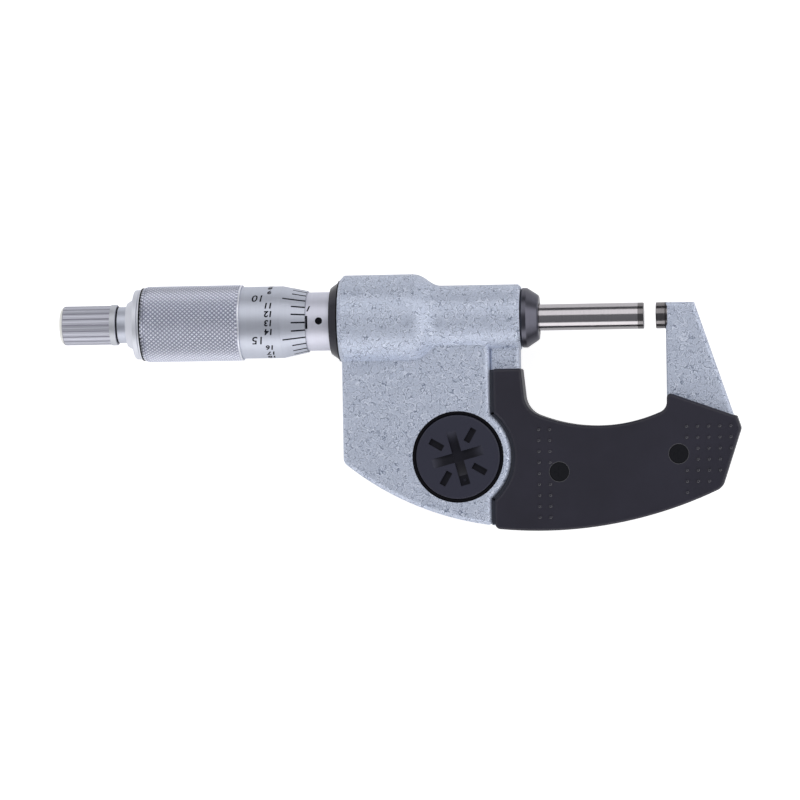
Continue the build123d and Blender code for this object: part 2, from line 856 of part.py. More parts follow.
def make_bezel_screws():
    screws = []
    for x, y in boss_places():
        low = bezel_z + 0.15
        seat = bezel_z + bezel_screw_head_height + 0.15
        head = post(x, y, low, seat, bezel_screw_head_radius)
        shank = post(x, y, seat, -panel_front + bezel_screw_length - 2.2, bezel_screw_radius - 0.01)
        cross = Rot(180, 0, 0) * cross_slot(0.45, 1.9, 0.5)
        screws.append(head + shank - Pos(x, y, low) * cross)
    return Compound(children=screws)


# Data port

def make_port_cover():
    half = port_length / 2 - 0.1
    tall = port_height / 2 - 0.1
    plate = block(
        panel_left + 0.1, panel_left + port_recess,
        -port_depth - half, -port_depth + half, port_level - tall, port_level + tall,
    )
    plate = fillet(plate.edges().filter_by(Axis.X), 1.0)
    for y in port_screw_heights():
        plate -= side_post(panel_left, panel_left + port_recess, y, port_screw_radius + 0.05)
        plate -= side_post(panel_left, panel_left + port_recess / 2 + 0.1, y, port_screw_head_radius + 0.1)
    return plate


def make_port_screws():
    screws = []
    for y in port_screw_heights():
        low = panel_left + 0.15
        seat = panel_left + port_recess / 2 + 0.1
        head = side_post(low, seat, y, port_screw_head_radius)
        shank = side_post(seat, low + port_screw_length, y, port_screw_radius - 0.01)
        slot = Pos(low, y, port_level) * Box(0.5, 1.6, 0.35)
        screws.append(head + shank - slot)
    return Compound(children=screws)


def make_connector():
    half = port_hole_length / 2 - 0.1
    tall = port_hole_height / 2 - 0.1
    low = panel_left + port_recess + 0.2
    body = block(
        low, panel_left + panel_wall + connector_depth,
        -port_depth - half, -port_depth + half, port_level - tall, port_level + tall,
    )
    legs = block(
        panel_left + panel_wall + connector_depth - 1, panel_left + panel_wall + connector_depth,
        -port_depth - half, -port_depth + half, -panel_front, port_level,
    )
    return body + legs


# Sleeves and nut

def make_barrel_nut():
    # Black cone that closes the barrel and holds the inner sleeve.
    bore = sleeve_radius + sleeve_gap
    return turned([
        (nut_x, bore), (flange_rear_x, bore), (flange_rear_x, chamber_radius),
        (head_x, chamber_radius), (head_x, nut_large_radius), (nut_x, nut_small_radius),
    ])


def make_inner_sleeve():
    # Carries the nut thread at its rear end and the rotor's journal at its front end.
    seat_x = sleeve_rear_x + adjusting_nut_length
    journal = rotor_hub_radius + rotor_hub_gap
    core = turned([
        (sleeve_rear_x, thread_radius + lapped_gap),
        (nut_thread_x, thread_radius + lapped_gap),
        (nut_thread_x, core_bore_radius),
        (flange_rear_x - 1, core_bore_radius),
        (flange_rear_x - 1, journal),
        (core_front_x, journal),
        (core_front_x, core_radius),
        (flange_front_x, core_radius),
        (flange_front_x, chamber_radius),
        (flange_rear_x, chamber_radius),
        (flange_rear_x, core_radius),
        (seat_x, core_radius),
        (seat_x, core_radius - adjusting_nut_wall),
        (sleeve_rear_x, core_radius - adjusting_nut_wall),
    ])
    for turn in (0, 120, 240):
        slit = block(sleeve_rear_x - 1, nut_thread_x - 2, -0.3, 0.3, 0, core_radius + 1)
        core -= Rot(turn, 0, 0) * slit
    return core


def make_adjusting_nut():
    end = sleeve_rear_x + adjusting_nut_length
    nut = ring(sleeve_rear_x, end, core_radius, core_radius - adjusting_nut_wall)
    for turn in range(0, 360, 90):
        slot = block(sleeve_rear_x - 1, sleeve_rear_x + 1.2, -0.6, 0.6, 0, core_radius + 1)
        nut -= Rot(turn + 45, 0, 0) * slot
    return nut


def make_sleeve():
    front = flange_rear_x - 0.2
    body = ring(sleeve_rear_x, front, sleeve_radius, sleeve_radius - sleeve_wall)
    hole = post(nut_x - spanner_hole_offset, 0, 0, sleeve_radius + 1, spanner_hole_radius)
    return body - hole


# Encoder

def make_rotor_bush():
    hub = turned([
        (rotor_flange_x - rotor_end_gap - rotor_hub_length, spindle_radius + lapped_gap),
        (rotor_x, spindle_radius + lapped_gap),
        (rotor_x, rotor_flange_radius),
        (rotor_flange_x, rotor_flange_radius),
        (rotor_flange_x, rotor_hub_radius),
        (rotor_flange_x - rotor_end_gap - rotor_hub_length, rotor_hub_radius),
    ])
    return hub - post(key_pin_x(), 0, -far, 0, key_pin_radius)


def key_pin_x():
    return rotor_flange_x + rotor_flange_length / 2


def make_rotor_key():
    return post(key_pin_x(), 0, -rotor_flange_radius + 0.2, -spindle_radius + groove_depth * 0.85, key_pin_radius)


def make_encoder_rotor():
    return ring(rotor_x, rotor_x + rotor_thickness, rotor_radius, rotor_flange_radius - 1.6)


def make_encoder_stator():
    return ring(stator_x, stator_seat_x, encoder_radius, stator_bore_radius)


def make_encoder_lead():
    # Flat lead from the edge of the stator down to the circuit board.
    z_low = -panel_front + 1.3
    x_low = stator_x - lead_thickness
    inner_y = -encoder_radius + 0.6
    outer_y = -cavity_top_depth - 2.2
    strip = block(x_low, stator_x, outer_y, inner_y, z_low, z_low + lead_width)
    strip += block(x_low, stator_x, outer_y, -cavity_top_depth - 0.2, -panel_front, z_low + lead_width)
    return strip


# Spindle guide and clamp

def make_spindle_bush():
    front = nose_x - bush_setback
    return ring(front - bush_length, front, bush_radius, spindle_radius + lapped_gap)


def collet_rear_x():
    return nose_x - collet_seat_length


def make_wiper():
    front = collet_rear_x()
    return ring(front - wiper_length, front, bush_radius, spindle_radius + 0.05)


def clamp_front_x():
    return nose_x + clamp_gap + clamp_length


def make_collet():
    front = clamp_front_x() - clamp_wall - 0.1
    collet = ring(collet_rear_x(), front, bush_radius, spindle_radius + lapped_gap + 0.01)
    for turn in (30, 150, 270):
        slit = block(nose_x + 0.2, front + 1, -collet_slot / 2, collet_slot / 2, 0, bush_radius + 1)
        collet -= Rot(turn, 0, 0) * slit
    return collet


def make_clamp_ring():
    rear = nose_x + clamp_gap
    front = clamp_front_x()
    bore = bush_radius + clamp_bore_gap
    mouth = spindle_radius + clamp_mouth_gap
    lip = 0.3
    return turned([
        (rear, bore),
        (front - clamp_wall, bore),
        (front - clamp_wall, mouth),
        (front, mouth),
        (front, clamp_nose_radius - lip),
        (front - lip, clamp_nose_radius),
        (rear + clamp_band_length, clamp_radius),
        (rear + lip, clamp_radius),
        (rear, clamp_radius - lip),
    ])


# Spindle and thimble

def make_spindle():
    # Lapped rod, feed thread, seat for the thimble's end wall, and a threaded tail.
    opened = travel - rest_opening
    thread_front_x = nut_thread_x + opened + 1.0
    tail_x = grip_rear_x
    spindle = turned([
        (tail_x - tail_thread_length, 0),
        (spindle_face_x - tip_length, 0),
        (spindle_face_x - tip_length, spindle_radius),
        (thread_front_x, spindle_radius),
        (thread_front_x - 0.5, thread_radius),
        (cavity_end_x, thread_radius),
        (cavity_end_x, tail_radius),
        (tail_x, tail_radius),
        (tail_x, tail_thread_radius),
        (tail_x - tail_thread_length, tail_thread_radius),
    ])
    spindle -= rod(tail_x - tail_thread_length - 1, tail_x - tail_thread_length + axle_grip_length, axle_radius)
    groove_rear = key_pin_x() - rest_opening - 1.0
    groove_front = key_pin_x() + opened + 1.0
    half = key_pin_radius + groove_gap
    return spindle - block(groove_rear, groove_front, -half, half, -spindle_radius - 1, -spindle_radius + groove_depth)


def make_thimble():
    # Thin sleeve with a bevelled edge, stepped down under the grip, closed by an end wall.
    bore = sleeve_radius + thimble_gap
    return turned([
        (grip_rear_x, tail_radius),
        (cavity_end_x, tail_radius),
        (cavity_end_x, bore),
        (thimble_edge_x, bore),
        (thimble_edge_x, thimble_edge_radius),
        (thimble_band_x, thimble_radius),
        (grip_front_x, thimble_radius),
        (grip_front_x, grip_radius - grip_wall),
        (grip_rear_x, grip_radius - grip_wall),
    ])


def make_grip():
    inner = grip_radius - grip_wall
    edge = 0.15
    return turned([
        (grip_rear_x, inner),
        (grip_front_x, inner),
        (grip_front_x, grip_radius - edge),
        (grip_front_x - edge, grip_radius),
        (grip_rear_x + grip_chamfer_length, grip_radius),
        (grip_rear_x, grip_chamfer_radius),
    ])


def make_thimble_cap():
    tail_end = grip_rear_x - tail_thread_length
    return turned([
        (neck_x, axle_radius),
        (tail_end, axle_radius),
        (tail_end, tail_thread_radius),
        (grip_rear_x, tail_thread_radius),
        (grip_rear_x, cap_seat_radius),
        (flange_x, cap_seat_radius),
        (flange_x, flange_radius),
        (cone_x, flange_radius),
        (cone_x, cap_cone_large),
        (neck_x, cap_cone_small),
    ], [0, 0, 0, 0, 0, 0, 0.2, 0.35, 0, 0])


# Ratchet stop

def crown_teeth(x_base, direction, turn):
    # Saw teeth that stand on a ring's face, rising in one direction round the ring.
    depth = knob_bore_radius - 0.3 - tooth_inner_radius
    flank = Polyline((0, 0), (0, tooth_width), (direction * tooth_height, tooth_width), close=True)
    tooth = Pos(x_base, -tooth_width / 2, tooth_inner_radius) * extrude(make_face(flank), depth)
    return [Rot(turn + 360 / tooth_count * step, 0, 0) * tooth for step in range(tooth_count)]


def make_ratchet_seat():
    spigot_radius = knob_bore_radius - seat_gap
    neck_rear = neck_x - neck_length
    seat = turned([
        (seat_rear_x, axle_radius),
        (neck_x, axle_radius),
        (neck_x, neck_radius),
        (neck_rear, neck_radius),
        (neck_rear, spigot_radius),
        (seat_rear_x, spigot_radius),
    ])
    return seat + crown_teeth(seat_rear_x, -1, 0)


def make_ratchet_crown():
    crown = ring(crown_rear_x, crown_front_x, knob_bore_radius - 0.02, axle_radius + axle_gap)
    return crown + crown_teeth(crown_front_x, 1, 180 / tooth_count)


def make_ratchet_cap():
    # Fluted knob with a plain collar, hollow for the ratchet and open at the rear for the screw.
    collar_x = ratchet_front_x - collar_length
    body = turned([
        (ratchet_rear_x, knob_recess_radius),
        (web_rear_x, knob_recess_radius),
        (web_rear_x, axle_radius + axle_gap),
        (web_front_x, axle_radius + axle_gap),
        (web_front_x, knob_bore_radius),
        (ratchet_front_x, knob_bore_radius),
        (ratchet_front_x, collar_radius),
        (collar_x, collar_radius),
        (collar_x, knob_radius),
        (ratchet_rear_x, knob_radius),
    ], [0, 0, 0, 0, 0, 0, 0.25, 0, 0, knob_round])
    flutes = []
    for step in range(flute_count):
        flute = Pos(0, 0, knob_radius + flute_radius * 0.55) * rod(ratchet_rear_x - 1, collar_x, flute_radius)
        flutes.append(Rot(360 / flute_count * step, 0, 0) * flute)
    return body - flutes


def make_ratchet_screw():
    head_front = web_rear_x - 0.03
    screw = rod(head_front, grip_rear_x - tail_thread_length + axle_grip_length - 0.3, axle_radius)
    head = rod(head_front - axle_head_height, head_front, axle_head_radius)
    head = fillet(head.faces().sort_by(Axis.X)[0].edges(), 0.3)
    slot = Pos(head_front - axle_head_height, 0, 0) * Box(1.0, 0.6, 2 * axle_head_radius)
    return screw + head - slot


def make_ratchet_spring():
    # Short coil spring of square wire between the knob's web and the crown.
    room = crown_rear_x - web_front_x - spring_wire - 2 * spring_end_gap
    coil = Helix(pitch=room / spring_turns, height=room, radius=spring_radius, direction=(1, 0, 0))
    section = Plane(coil @ 0, z_dir=coil % 0) * Rectangle(spring_wire, spring_wire)
    spring = sweep(section, path=coil, is_frenet=True)
    return Pos(web_front_x + spring_wire / 2 + spring_end_gap, 0, 0) * spring


def build_all():
    keys = key_places()
    spindle_back_x = spindle_face_x - tip_length
    return {
        "frame": make_frame(),
        "anvil": make_anvil(),
        "anvil_tip": measuring_tip(0, anvil_tip_length),
        "heat_cover_back": make_back_cover(),
        "heat_cover_front": make_front_cover(),
        "cover_screws": make_cover_screws(),
        "cover_inserts": make_cover_inserts(),
        "battery_cap": make_battery_cap(),
        "cap_seal_ring": make_cap_seal(),
        "battery": make_battery(),
        "battery_holder": make_battery_holder(),
        "battery_contact": make_battery_contacts(),
        "display_bezel": make_bezel(),
        "display_gasket": make_gasket(),
        "display_window": make_window(),
        "lcd_panel": make_lcd(),
        "contact_strip": make_contact_strip(),
        "circuit_board": make_board(),
        "key_mat": make_key_mat(),
        "key_origin": make_round_key(keys[0]),
        "key_unit": make_round_key(keys[1]),
        "key_zero": make_round_key(keys[2]),
        "key_hold": make_hold_key(),
        "bezel_screws": make_bezel_screws(),
        "data_port_cover": make_port_cover(),
        "data_port_screws": make_port_screws(),
        "data_connector": make_connector(),
        "barrel_nut": make_barrel_nut(),
        "inner_sleeve": make_inner_sleeve(),
        "adjusting_nut": make_adjusting_nut(),
        "sleeve": make_sleeve(),
        "rotor_bush": make_rotor_bush(),
        "rotor_key": make_rotor_key(),
        "encoder_rotor": make_encoder_rotor(),
        "encoder_stator": make_encoder_stator(),
        "encoder_lead": make_encoder_lead(),
        "spindle_bush": make_spindle_bush(),
        "wiper_seal": make_wiper(),
        "clamp_collet": make_collet(),
        "clamp_ring": make_clamp_ring(),
        "spindle": make_spindle(),
        "spindle_tip": measuring_tip(spindle_face_x, spindle_back_x),
        "thimble": make_thimble(),
        "thimble_grip": make_grip(),
        "thimble_cap": make_thimble_cap(),
        "ratchet_seat": make_ratchet_seat(),
        "ratchet_crown": make_ratchet_crown(),
        "ratchet_cap": make_ratchet_cap(),
        "ratchet_screw": make_ratchet_screw(),
        "ratchet_spring": make_ratchet_spring(),
    }


os.makedirs("parts", exist_ok=True)
for name, shape in build_all().items():
    export_step(shape, f"parts/{name}.step")
    print(name, round(shape.volume, 2))
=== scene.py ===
import math

import bmesh
import bpy
from mathutils import Matrix, Vector


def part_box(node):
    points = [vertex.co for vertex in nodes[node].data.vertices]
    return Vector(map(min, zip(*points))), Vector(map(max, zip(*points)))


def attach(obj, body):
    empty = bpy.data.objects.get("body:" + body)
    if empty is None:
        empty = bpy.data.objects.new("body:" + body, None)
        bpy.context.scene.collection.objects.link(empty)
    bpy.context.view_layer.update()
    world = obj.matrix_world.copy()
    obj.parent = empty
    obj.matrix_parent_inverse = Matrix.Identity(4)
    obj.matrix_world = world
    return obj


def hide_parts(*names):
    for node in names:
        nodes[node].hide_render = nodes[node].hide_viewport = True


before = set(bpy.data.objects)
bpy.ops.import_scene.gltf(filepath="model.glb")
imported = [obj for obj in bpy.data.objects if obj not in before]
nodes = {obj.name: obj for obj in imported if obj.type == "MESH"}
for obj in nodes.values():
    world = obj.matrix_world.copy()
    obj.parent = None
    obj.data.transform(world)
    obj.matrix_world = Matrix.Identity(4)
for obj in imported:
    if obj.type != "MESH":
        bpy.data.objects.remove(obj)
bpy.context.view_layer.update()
scene = bpy.context.scene
scene.view_settings.view_transform = "Standard"
mm = 0.001
print("frame loaded:", len(nodes), "nodes")


# Camera above the back, turned a little so that faces towards the anvil show

camera = {
    "distance": 960 * mm,
    "pixelsPerMm": 4.14,
    "pictureSide": 800,
    "originPixel": (655.7, 315.9),   # centre of the anvil's face in the photo
    "roll": 0.92,                    # degrees, the spindle rises to the right
    "yaw": 6.0,                      # degrees, towards the anvil's side
    "sensor": 36.0,
    "near": 10 * mm,
    "far": 20000 * mm,
}


def makeCamera():
    roll = math.radians(camera["roll"])
    yaw = math.radians(camera["yaw"])
    half = camera["pictureSide"] / 2
    scale = camera["pixelsPerMm"]
    across = half - camera["originPixel"][0]
    down = half - camera["originPixel"][1]
    aimX = (across * math.cos(roll) - down * math.sin(roll)) / scale * mm
    aimY = (-across * math.sin(roll) - down * math.cos(roll)) / scale * mm
    back = Vector((math.sin(yaw), 0, math.cos(yaw)))
    side = Vector((math.cos(yaw), 0, -math.sin(yaw)))
    upright = Vector((0, 1, 0))
    right = side * math.cos(roll) - upright * math.sin(roll)
    top = side * math.sin(roll) + upright * math.cos(roll)
    place = Vector((aimX, aimY, 0)) + back * camera["distance"]
    data = bpy.data.cameras.new("camera")
    data.sensor_width = camera["sensor"]
    seen = camera["pictureSide"] / scale * mm
    data.lens = camera["sensor"] * camera["distance"] / seen
    data.clip_start = camera["near"]
    data.clip_end = camera["far"]
    eye = bpy.data.objects.new("camera", data)
    scene.collection.objects.link(eye)
    turn = Matrix((right, top, back)).transposed().to_4x4()
    eye.matrix_world = Matrix.Translation(place) @ turn
    scene.camera = eye


makeCamera()
print("camera placed")


# Material tools. The owner of a node is a material or the world

def newMaterial(name, color, roughness, metallic=0.0, specular=0.5, coat=0.0):
    material = bpy.data.materials.new(name)
    material.use_nodes = True
    shader = material.node_tree.nodes["Principled BSDF"]
    shader.inputs["Base Color"].default_value = (*color, 1)
    shader.inputs["Roughness"].default_value = roughness
    shader.inputs["Metallic"].default_value = metallic
    shader.inputs["Specular IOR Level"].default_value = specular
    shader.inputs["Coat Weight"].default_value = coat
    return material


def addNode(owner, kind, **inputs):
    node = owner.node_tree.nodes.new(kind)
    for label, value in inputs.items():
        node.inputs[label].default_value = value
    return node


def wire(owner, source, output, target, socket):
    owner.node_tree.links.new(source.outputs[output], target.inputs[socket])


def shaderOf(material):
    return material.node_tree.nodes["Principled BSDF"]


def placeNode(material, stretch=(1, 1, 1)):
    # Object coordinates, stretched along the axes
    coordinate = addNode(material, "ShaderNodeTexCoord")
    mapping = addNode(material, "ShaderNodeMapping")
    mapping.inputs["Scale"].default_value = stretch
    wire(material, coordinate, "Object", mapping, "Vector")
    return mapping


def noiseNode(material, place, scale, detail=3.0, roughness=0.5):
    noise = addNode(material, "ShaderNodeTexNoise", Scale=scale, Detail=detail,
                    Roughness=roughness)
    wire(material, place, "Vector", noise, "Vector")
    return noise


def rampNode(owner, source, output, stops):
    # Colours at places from 0 to 1, from the first to the last
    ramp = addNode(owner, "ShaderNodeValToRGB")
    elements = ramp.color_ramp.elements
    elements[0].position, elements[0].color = stops[0][0], (*stops[0][1], 1)
    elements[1].position, elements[1].color = stops[-1][0], (*stops[-1][1], 1)
    for position, color in stops[1:-1]:
        elements.new(position).color = (*color, 1)
    wire(owner, source, output, ramp, "Fac")
    return ramp


def bumpNode(material, source, output, strength, depth):
    bump = addNode(material, "ShaderNodeBump", Strength=strength, Distance=depth)
    wire(material, source, output, bump, "Height")
    wire(material, bump, "Normal", shaderOf(material), "Normal")


def grey(value):
    return (value, value, value)


def combine(owner, operation, first, second):
    # One arithmetic step between two values, each a number, a node or a node's output
    both = addNode(owner, "ShaderNodeMath")
    both.operation = operation
    for slot, source in enumerate((first, second)):
        if isinstance(source, (int, float)):
            both.inputs[slot].default_value = source
            continue
        if isinstance(source, bpy.types.Node):
            source = next(output for output in source.outputs if output.enabled)
        owner.node_tree.links.new(source, both.inputs[slot])
    return both


def mapRange(owner, source, output, fromMin, fromMax, toMin=0.0, toMax=1.0):
    node = addNode(owner, "ShaderNodeMapRange")
    wire(owner, source, output, node, "Value")
    ends = {"From Min": fromMin, "From Max": fromMax, "To Min": toMin, "To Max": toMax}
    for label, value in ends.items():
        node.inputs[label].default_value = value
    return node


def positionNode(material):
    # Where the surface is along X, Y and Z
    coordinate = addNode(material, "ShaderNodeTexCoord")
    parts = addNode(material, "ShaderNodeSeparateXYZ")
    wire(material, coordinate, "Object", parts, "Vector")
    return parts


def axisRadius(material):
    # Distance from the spindle's axis
    coordinate = addNode(material, "ShaderNodeTexCoord")
    across = addNode(material, "ShaderNodeVectorMath")
    across.operation = "MULTIPLY"
    wire(material, coordinate, "Object", across, 0)
    across.inputs[1].default_value = (0, 1, 1)
    length = addNode(material, "ShaderNodeVectorMath")
    length.operation = "LENGTH"
    wire(material, across, "Vector", length, 0)
    return length


def curlNode(material, place, scale, shift, width):
    # Curling lines where a noise field passes its middle: 0 on a line, 1 at its edge, 0.5 away
    field = addNode(material, "ShaderNodeMapping")
    field.inputs["Location"].default_value = shift
    wire(material, place, "Vector", field, "Vector")
    noise = noiseNode(material, field, scale, detail=0.6, roughness=0.4)
    noise.inputs["Distortion"].default_value = 0.35
    middle = 0.5
    stops = [
        (middle - 1.5 * width, grey(0.5)),
        (middle, grey(0)),
        (middle + 1.4 * width, grey(1)),
        (middle + 3.2 * width, grey(0.5)),
    ]
    return rampNode(material, noise, "Fac", stops)


def makeHammertone():
    # Baked enamel that wrinkled as it dried: thin dark curls with a pale edge over a fine mottle
    look = {
        "dark": (0.190, 0.230, 0.325),
        "plain": (0.596, 0.658, 0.792),
        "pale": (0.790, 0.845, 0.970),
        "roughness": 0.42,
        "metallic": 0.45,
        "coat": 0.12,
        "scales": (640.0, 860.0, 1120.0),  # three sets of curls, per metre
        "width": 0.023,
        "faint": 0.5,                # strength of the curls where they fade
        "breaks": 330.0,             # patches in which they fade, per metre
        "mottle": 2400.0,
        "mottleShare": 0.46,
        "smooth": 0.43,              # roughness, from patch to patch
        "rough": 0.53,
        "bump": 0.6,
        "rise": 0.04 * mm,
    }
    material = newMaterial("hammertone", look["plain"], look["roughness"],
                           metallic=look["metallic"], coat=look["coat"])
    place = placeNode(material)
    sets = [curlNode(material, place, scale, (step * 3, step, step * 2), look["width"])
            for step, scale in enumerate(look["scales"])]
    total = combine(material, "ADD", combine(material, "ADD", sets[0], sets[1]), sets[2])
    curls = combine(material, "SUBTRACT", total, 0.5 * len(sets))
    breaks = noiseNode(material, place, look["breaks"], 1.5)
    kept = rampNode(material, breaks, "Fac", [(0.36, grey(look["faint"])), (0.52, grey(1.0))])
    relief = combine(material, "MULTIPLY", curls, kept)
    mottle = combine(material, "SUBTRACT", noiseNode(material, place, look["mottle"], 2.0), 0.5)
    share = combine(material, "MULTIPLY", mottle, look["mottleShare"])
    level = combine(material, "ADD", combine(material, "ADD", relief, share), 0.5)
    stops = [(0.0, look["dark"]), (0.5, look["plain"]), (1.0, look["pale"])]
    tone = rampNode(material, level, "Value", stops)
    wire(material, tone, "Color", shaderOf(material), "Base Color")
    finish = [(0.3, grey(look["smooth"])), (0.7, grey(look["rough"]))]
    gloss = rampNode(material, breaks, "Fac", finish)
    wire(material, gloss, "Color", shaderOf(material), "Roughness")
    bumpNode(material, level, "Value", look["bump"], look["rise"])
    return material


def makeFluted():
    # Satin metal with painted shade darkening the bottom of the flutes and a painted highlight on
    # the rim at the rear
    look = {
        "land": (0.55, 0.56, 0.63),
        "flute": (0.33, 0.33, 0.39),
        "collar": (0.62, 0.64, 0.68),
        "rim": (0.92, 0.92, 0.88),
        "highlightStart": 0.75 * mm,
        "highlightEnd": 0.95 * mm,
        "lowest": 4.64 * mm,         # radius at the bottom of the flutes
        "highest": 4.91 * mm,
    }
    material = makeTurned("satinRatchetPaintedLight", look["land"], 0.55, even=0.6)
    height = mapRange(material, axisRadius(material), "Value", look["lowest"], look["highest"])
    # Painted shade: the colour darkens from the lands down to the bottom of the flutes
    stops = [
        (0.0, look["flute"]),
        (0.36, look["land"]),
        (0.60, look["land"]),
        (0.80, look["collar"]),
    ]
    tone = rampNode(material, height, "Result", stops)
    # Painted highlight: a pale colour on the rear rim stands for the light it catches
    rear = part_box("ratchet_cap")[0].x
    front = mapRange(material, positionNode(material), "X", rear + look["highlightStart"],
                     rear + look["highlightEnd"])
    mix = addNode(material, "ShaderNodeMix")
    mix.data_type = "RGBA"
    mixFirst, mixSecond, mixResult = 6, 7, 2     # its sockets for colours
    wire(material, front, "Result", mix, "Factor")
    mix.inputs[mixFirst].default_value = (*look["rim"], 1)
    wire(material, tone, "Color", mix, mixSecond)
    wire(material, mix, mixResult, shaderOf(material), "Base Color")
    return material


def makeKnurled():
    # Bright chrome on the diamonds' tips, with painted shade darkening the colour down to the
    # bottom of the grooves
    look = {
        "groove": (0.330, 0.343, 0.425),
        "flank": (0.585, 0.612, 0.725),
        "tip": (0.84, 0.86, 0.92),
        "depth": 0.23 * mm,
        "chamfer": 1.4 * mm,
        "drop": 0.75 * mm,           # of the chamfer at the rear
        "bandStart": 0.62 * mm,      # smooth band, from the front face
        "bandEnd": 0.42 * mm,
        "bandRise": 0.184 * mm,
    }
    material = makeTurned("knurledChromeShaded", look["tip"], 0.42, even=0.6)
    low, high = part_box("thimble_grip")
    parts = positionNode(material)
    drop = mapRange(material, parts, "X", low.x, low.x + look["chamfer"], look["drop"], 0.0)
    rise = mapRange(material, parts, "X", high.x - look["bandStart"], high.x - look["bandEnd"],
                    0.0, look["bandRise"])
    reach = combine(material, "ADD", combine(material, "ADD", axisRadius(material), drop), rise)
    # Painted shade: colour runs from the chrome at the tips to dark at the groove bottoms
    height = mapRange(material, reach, "Value", high.y - look["depth"], high.y)
    stops = [(0.0, look["groove"]), (0.55, look["flank"]), (0.95, look["tip"])]
    tone = rampNode(material, height, "Result", stops)
    wire(material, tone, "Color", shaderOf(material), "Base Color")
    return material


moulding = {"fine": 3800.0, "cloud": 90.0, "spread": 0.12, "rise": 0.03 * mm}


def makeMoulded(name, color, roughness, grain=0.25, specular=0.5):
    # Moulded plastic with a fine spark-eroded grain
    material = newMaterial(name, color, roughness, specular=specular)
    place = placeNode(material)
    fine = noiseNode(material, place, moulding["fine"], 2.0)
    cloud = noiseNode(material, place, moulding["cloud"])
    low = tuple(part * (1 - moulding["spread"]) for part in color)
    high = tuple(part * (1 + moulding["spread"]) for part in color)
    tone = rampNode(material, cloud, "Fac", [(0.3, low), (0.7, high)])
    wire(material, tone, "Color", shaderOf(material), "Base Color")
    bumpNode(material, fine, "Fac", grain, moulding["rise"])
    return material


turning = {"across": 40.0, "darker": 0.07, "lighter": 0.06, "rise": 0.01 * mm}


def makeTurned(name, color, roughness, rings=2600.0, strength=0.12, axis=0, even=0.0):
    # Turned or ground metal: fine rings round an axis, from plain to quite even in colour
    material = newMaterial(name, color, roughness, metallic=1.0)
    stretch = [turning["across"]] * 3
    stretch[axis] = rings
    place = placeNode(material, tuple(stretch))
    lines = noiseNode(material, place, 1.0, roughness=0.7)
    low = tuple(part * (1 - turning["darker"] * (1 - even)) for part in color)
    high = tuple(min(part * (1 + turning["lighter"] * (1 - even)), 1.0) for part in color)
    tone = rampNode(material, lines, "Fac", [(0.3, low), (0.7, high)])
    wire(material, tone, "Color", shaderOf(material), "Base Color")
    bumpNode(material, lines, "Fac", strength, turning["rise"])
    return material


def makeCap():
    # Slate plastic with painted shade, darker down in the coin slots
    look = {
        "face": (0.032, 0.033, 0.053),
        "floor": (0.006, 0.006, 0.013),
        "slotTop": 0.05 * mm,
        "slotFloor": 0.85 * mm,
    }
    material = makeMoulded("capPlasticSlotShade", look["face"], 0.42, grain=0.12, specular=0.33)
    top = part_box("battery_cap")[1].z
    # Painted shade: the colour darkens with depth towards the slots' floors
    depth = mapRange(material, positionNode(material), "Z", top - look["slotFloor"],
                     top - look["slotTop"])
    tone = rampNode(material, depth, "Result", [(0.0, look["floor"]), (1.0, look["face"])])
    wire(material, tone, "Color", shaderOf(material), "Base Color")
    return material


def makeClear():
    # Clear plastic with a faint haze
    look = {
        "tint": (0.92, 0.95, 0.96),
        "roughness": 0.04,
        "smooth": 0.03,              # roughness, from patch to patch
        "rough": 0.07,
        "haze": 300.0,               # per metre
        "clear": 0.9,
        "bending": 1.49,
    }
    material = newMaterial("clearWindow", look["tint"], look["roughness"])
    shader = shaderOf(material)
    shader.inputs["Transmission Weight"].default_value = look["clear"]
    shader.inputs["IOR"].default_value = look["bending"]
    haze = noiseNode(material, placeNode(material), look["haze"], 2.0)
    finish = [(0.3, grey(look["smooth"])), (0.7, grey(look["rough"]))]
    tone = rampNode(material, haze, "Fac", finish)
    wire(material, tone, "Color", shader, "Roughness")
    return material


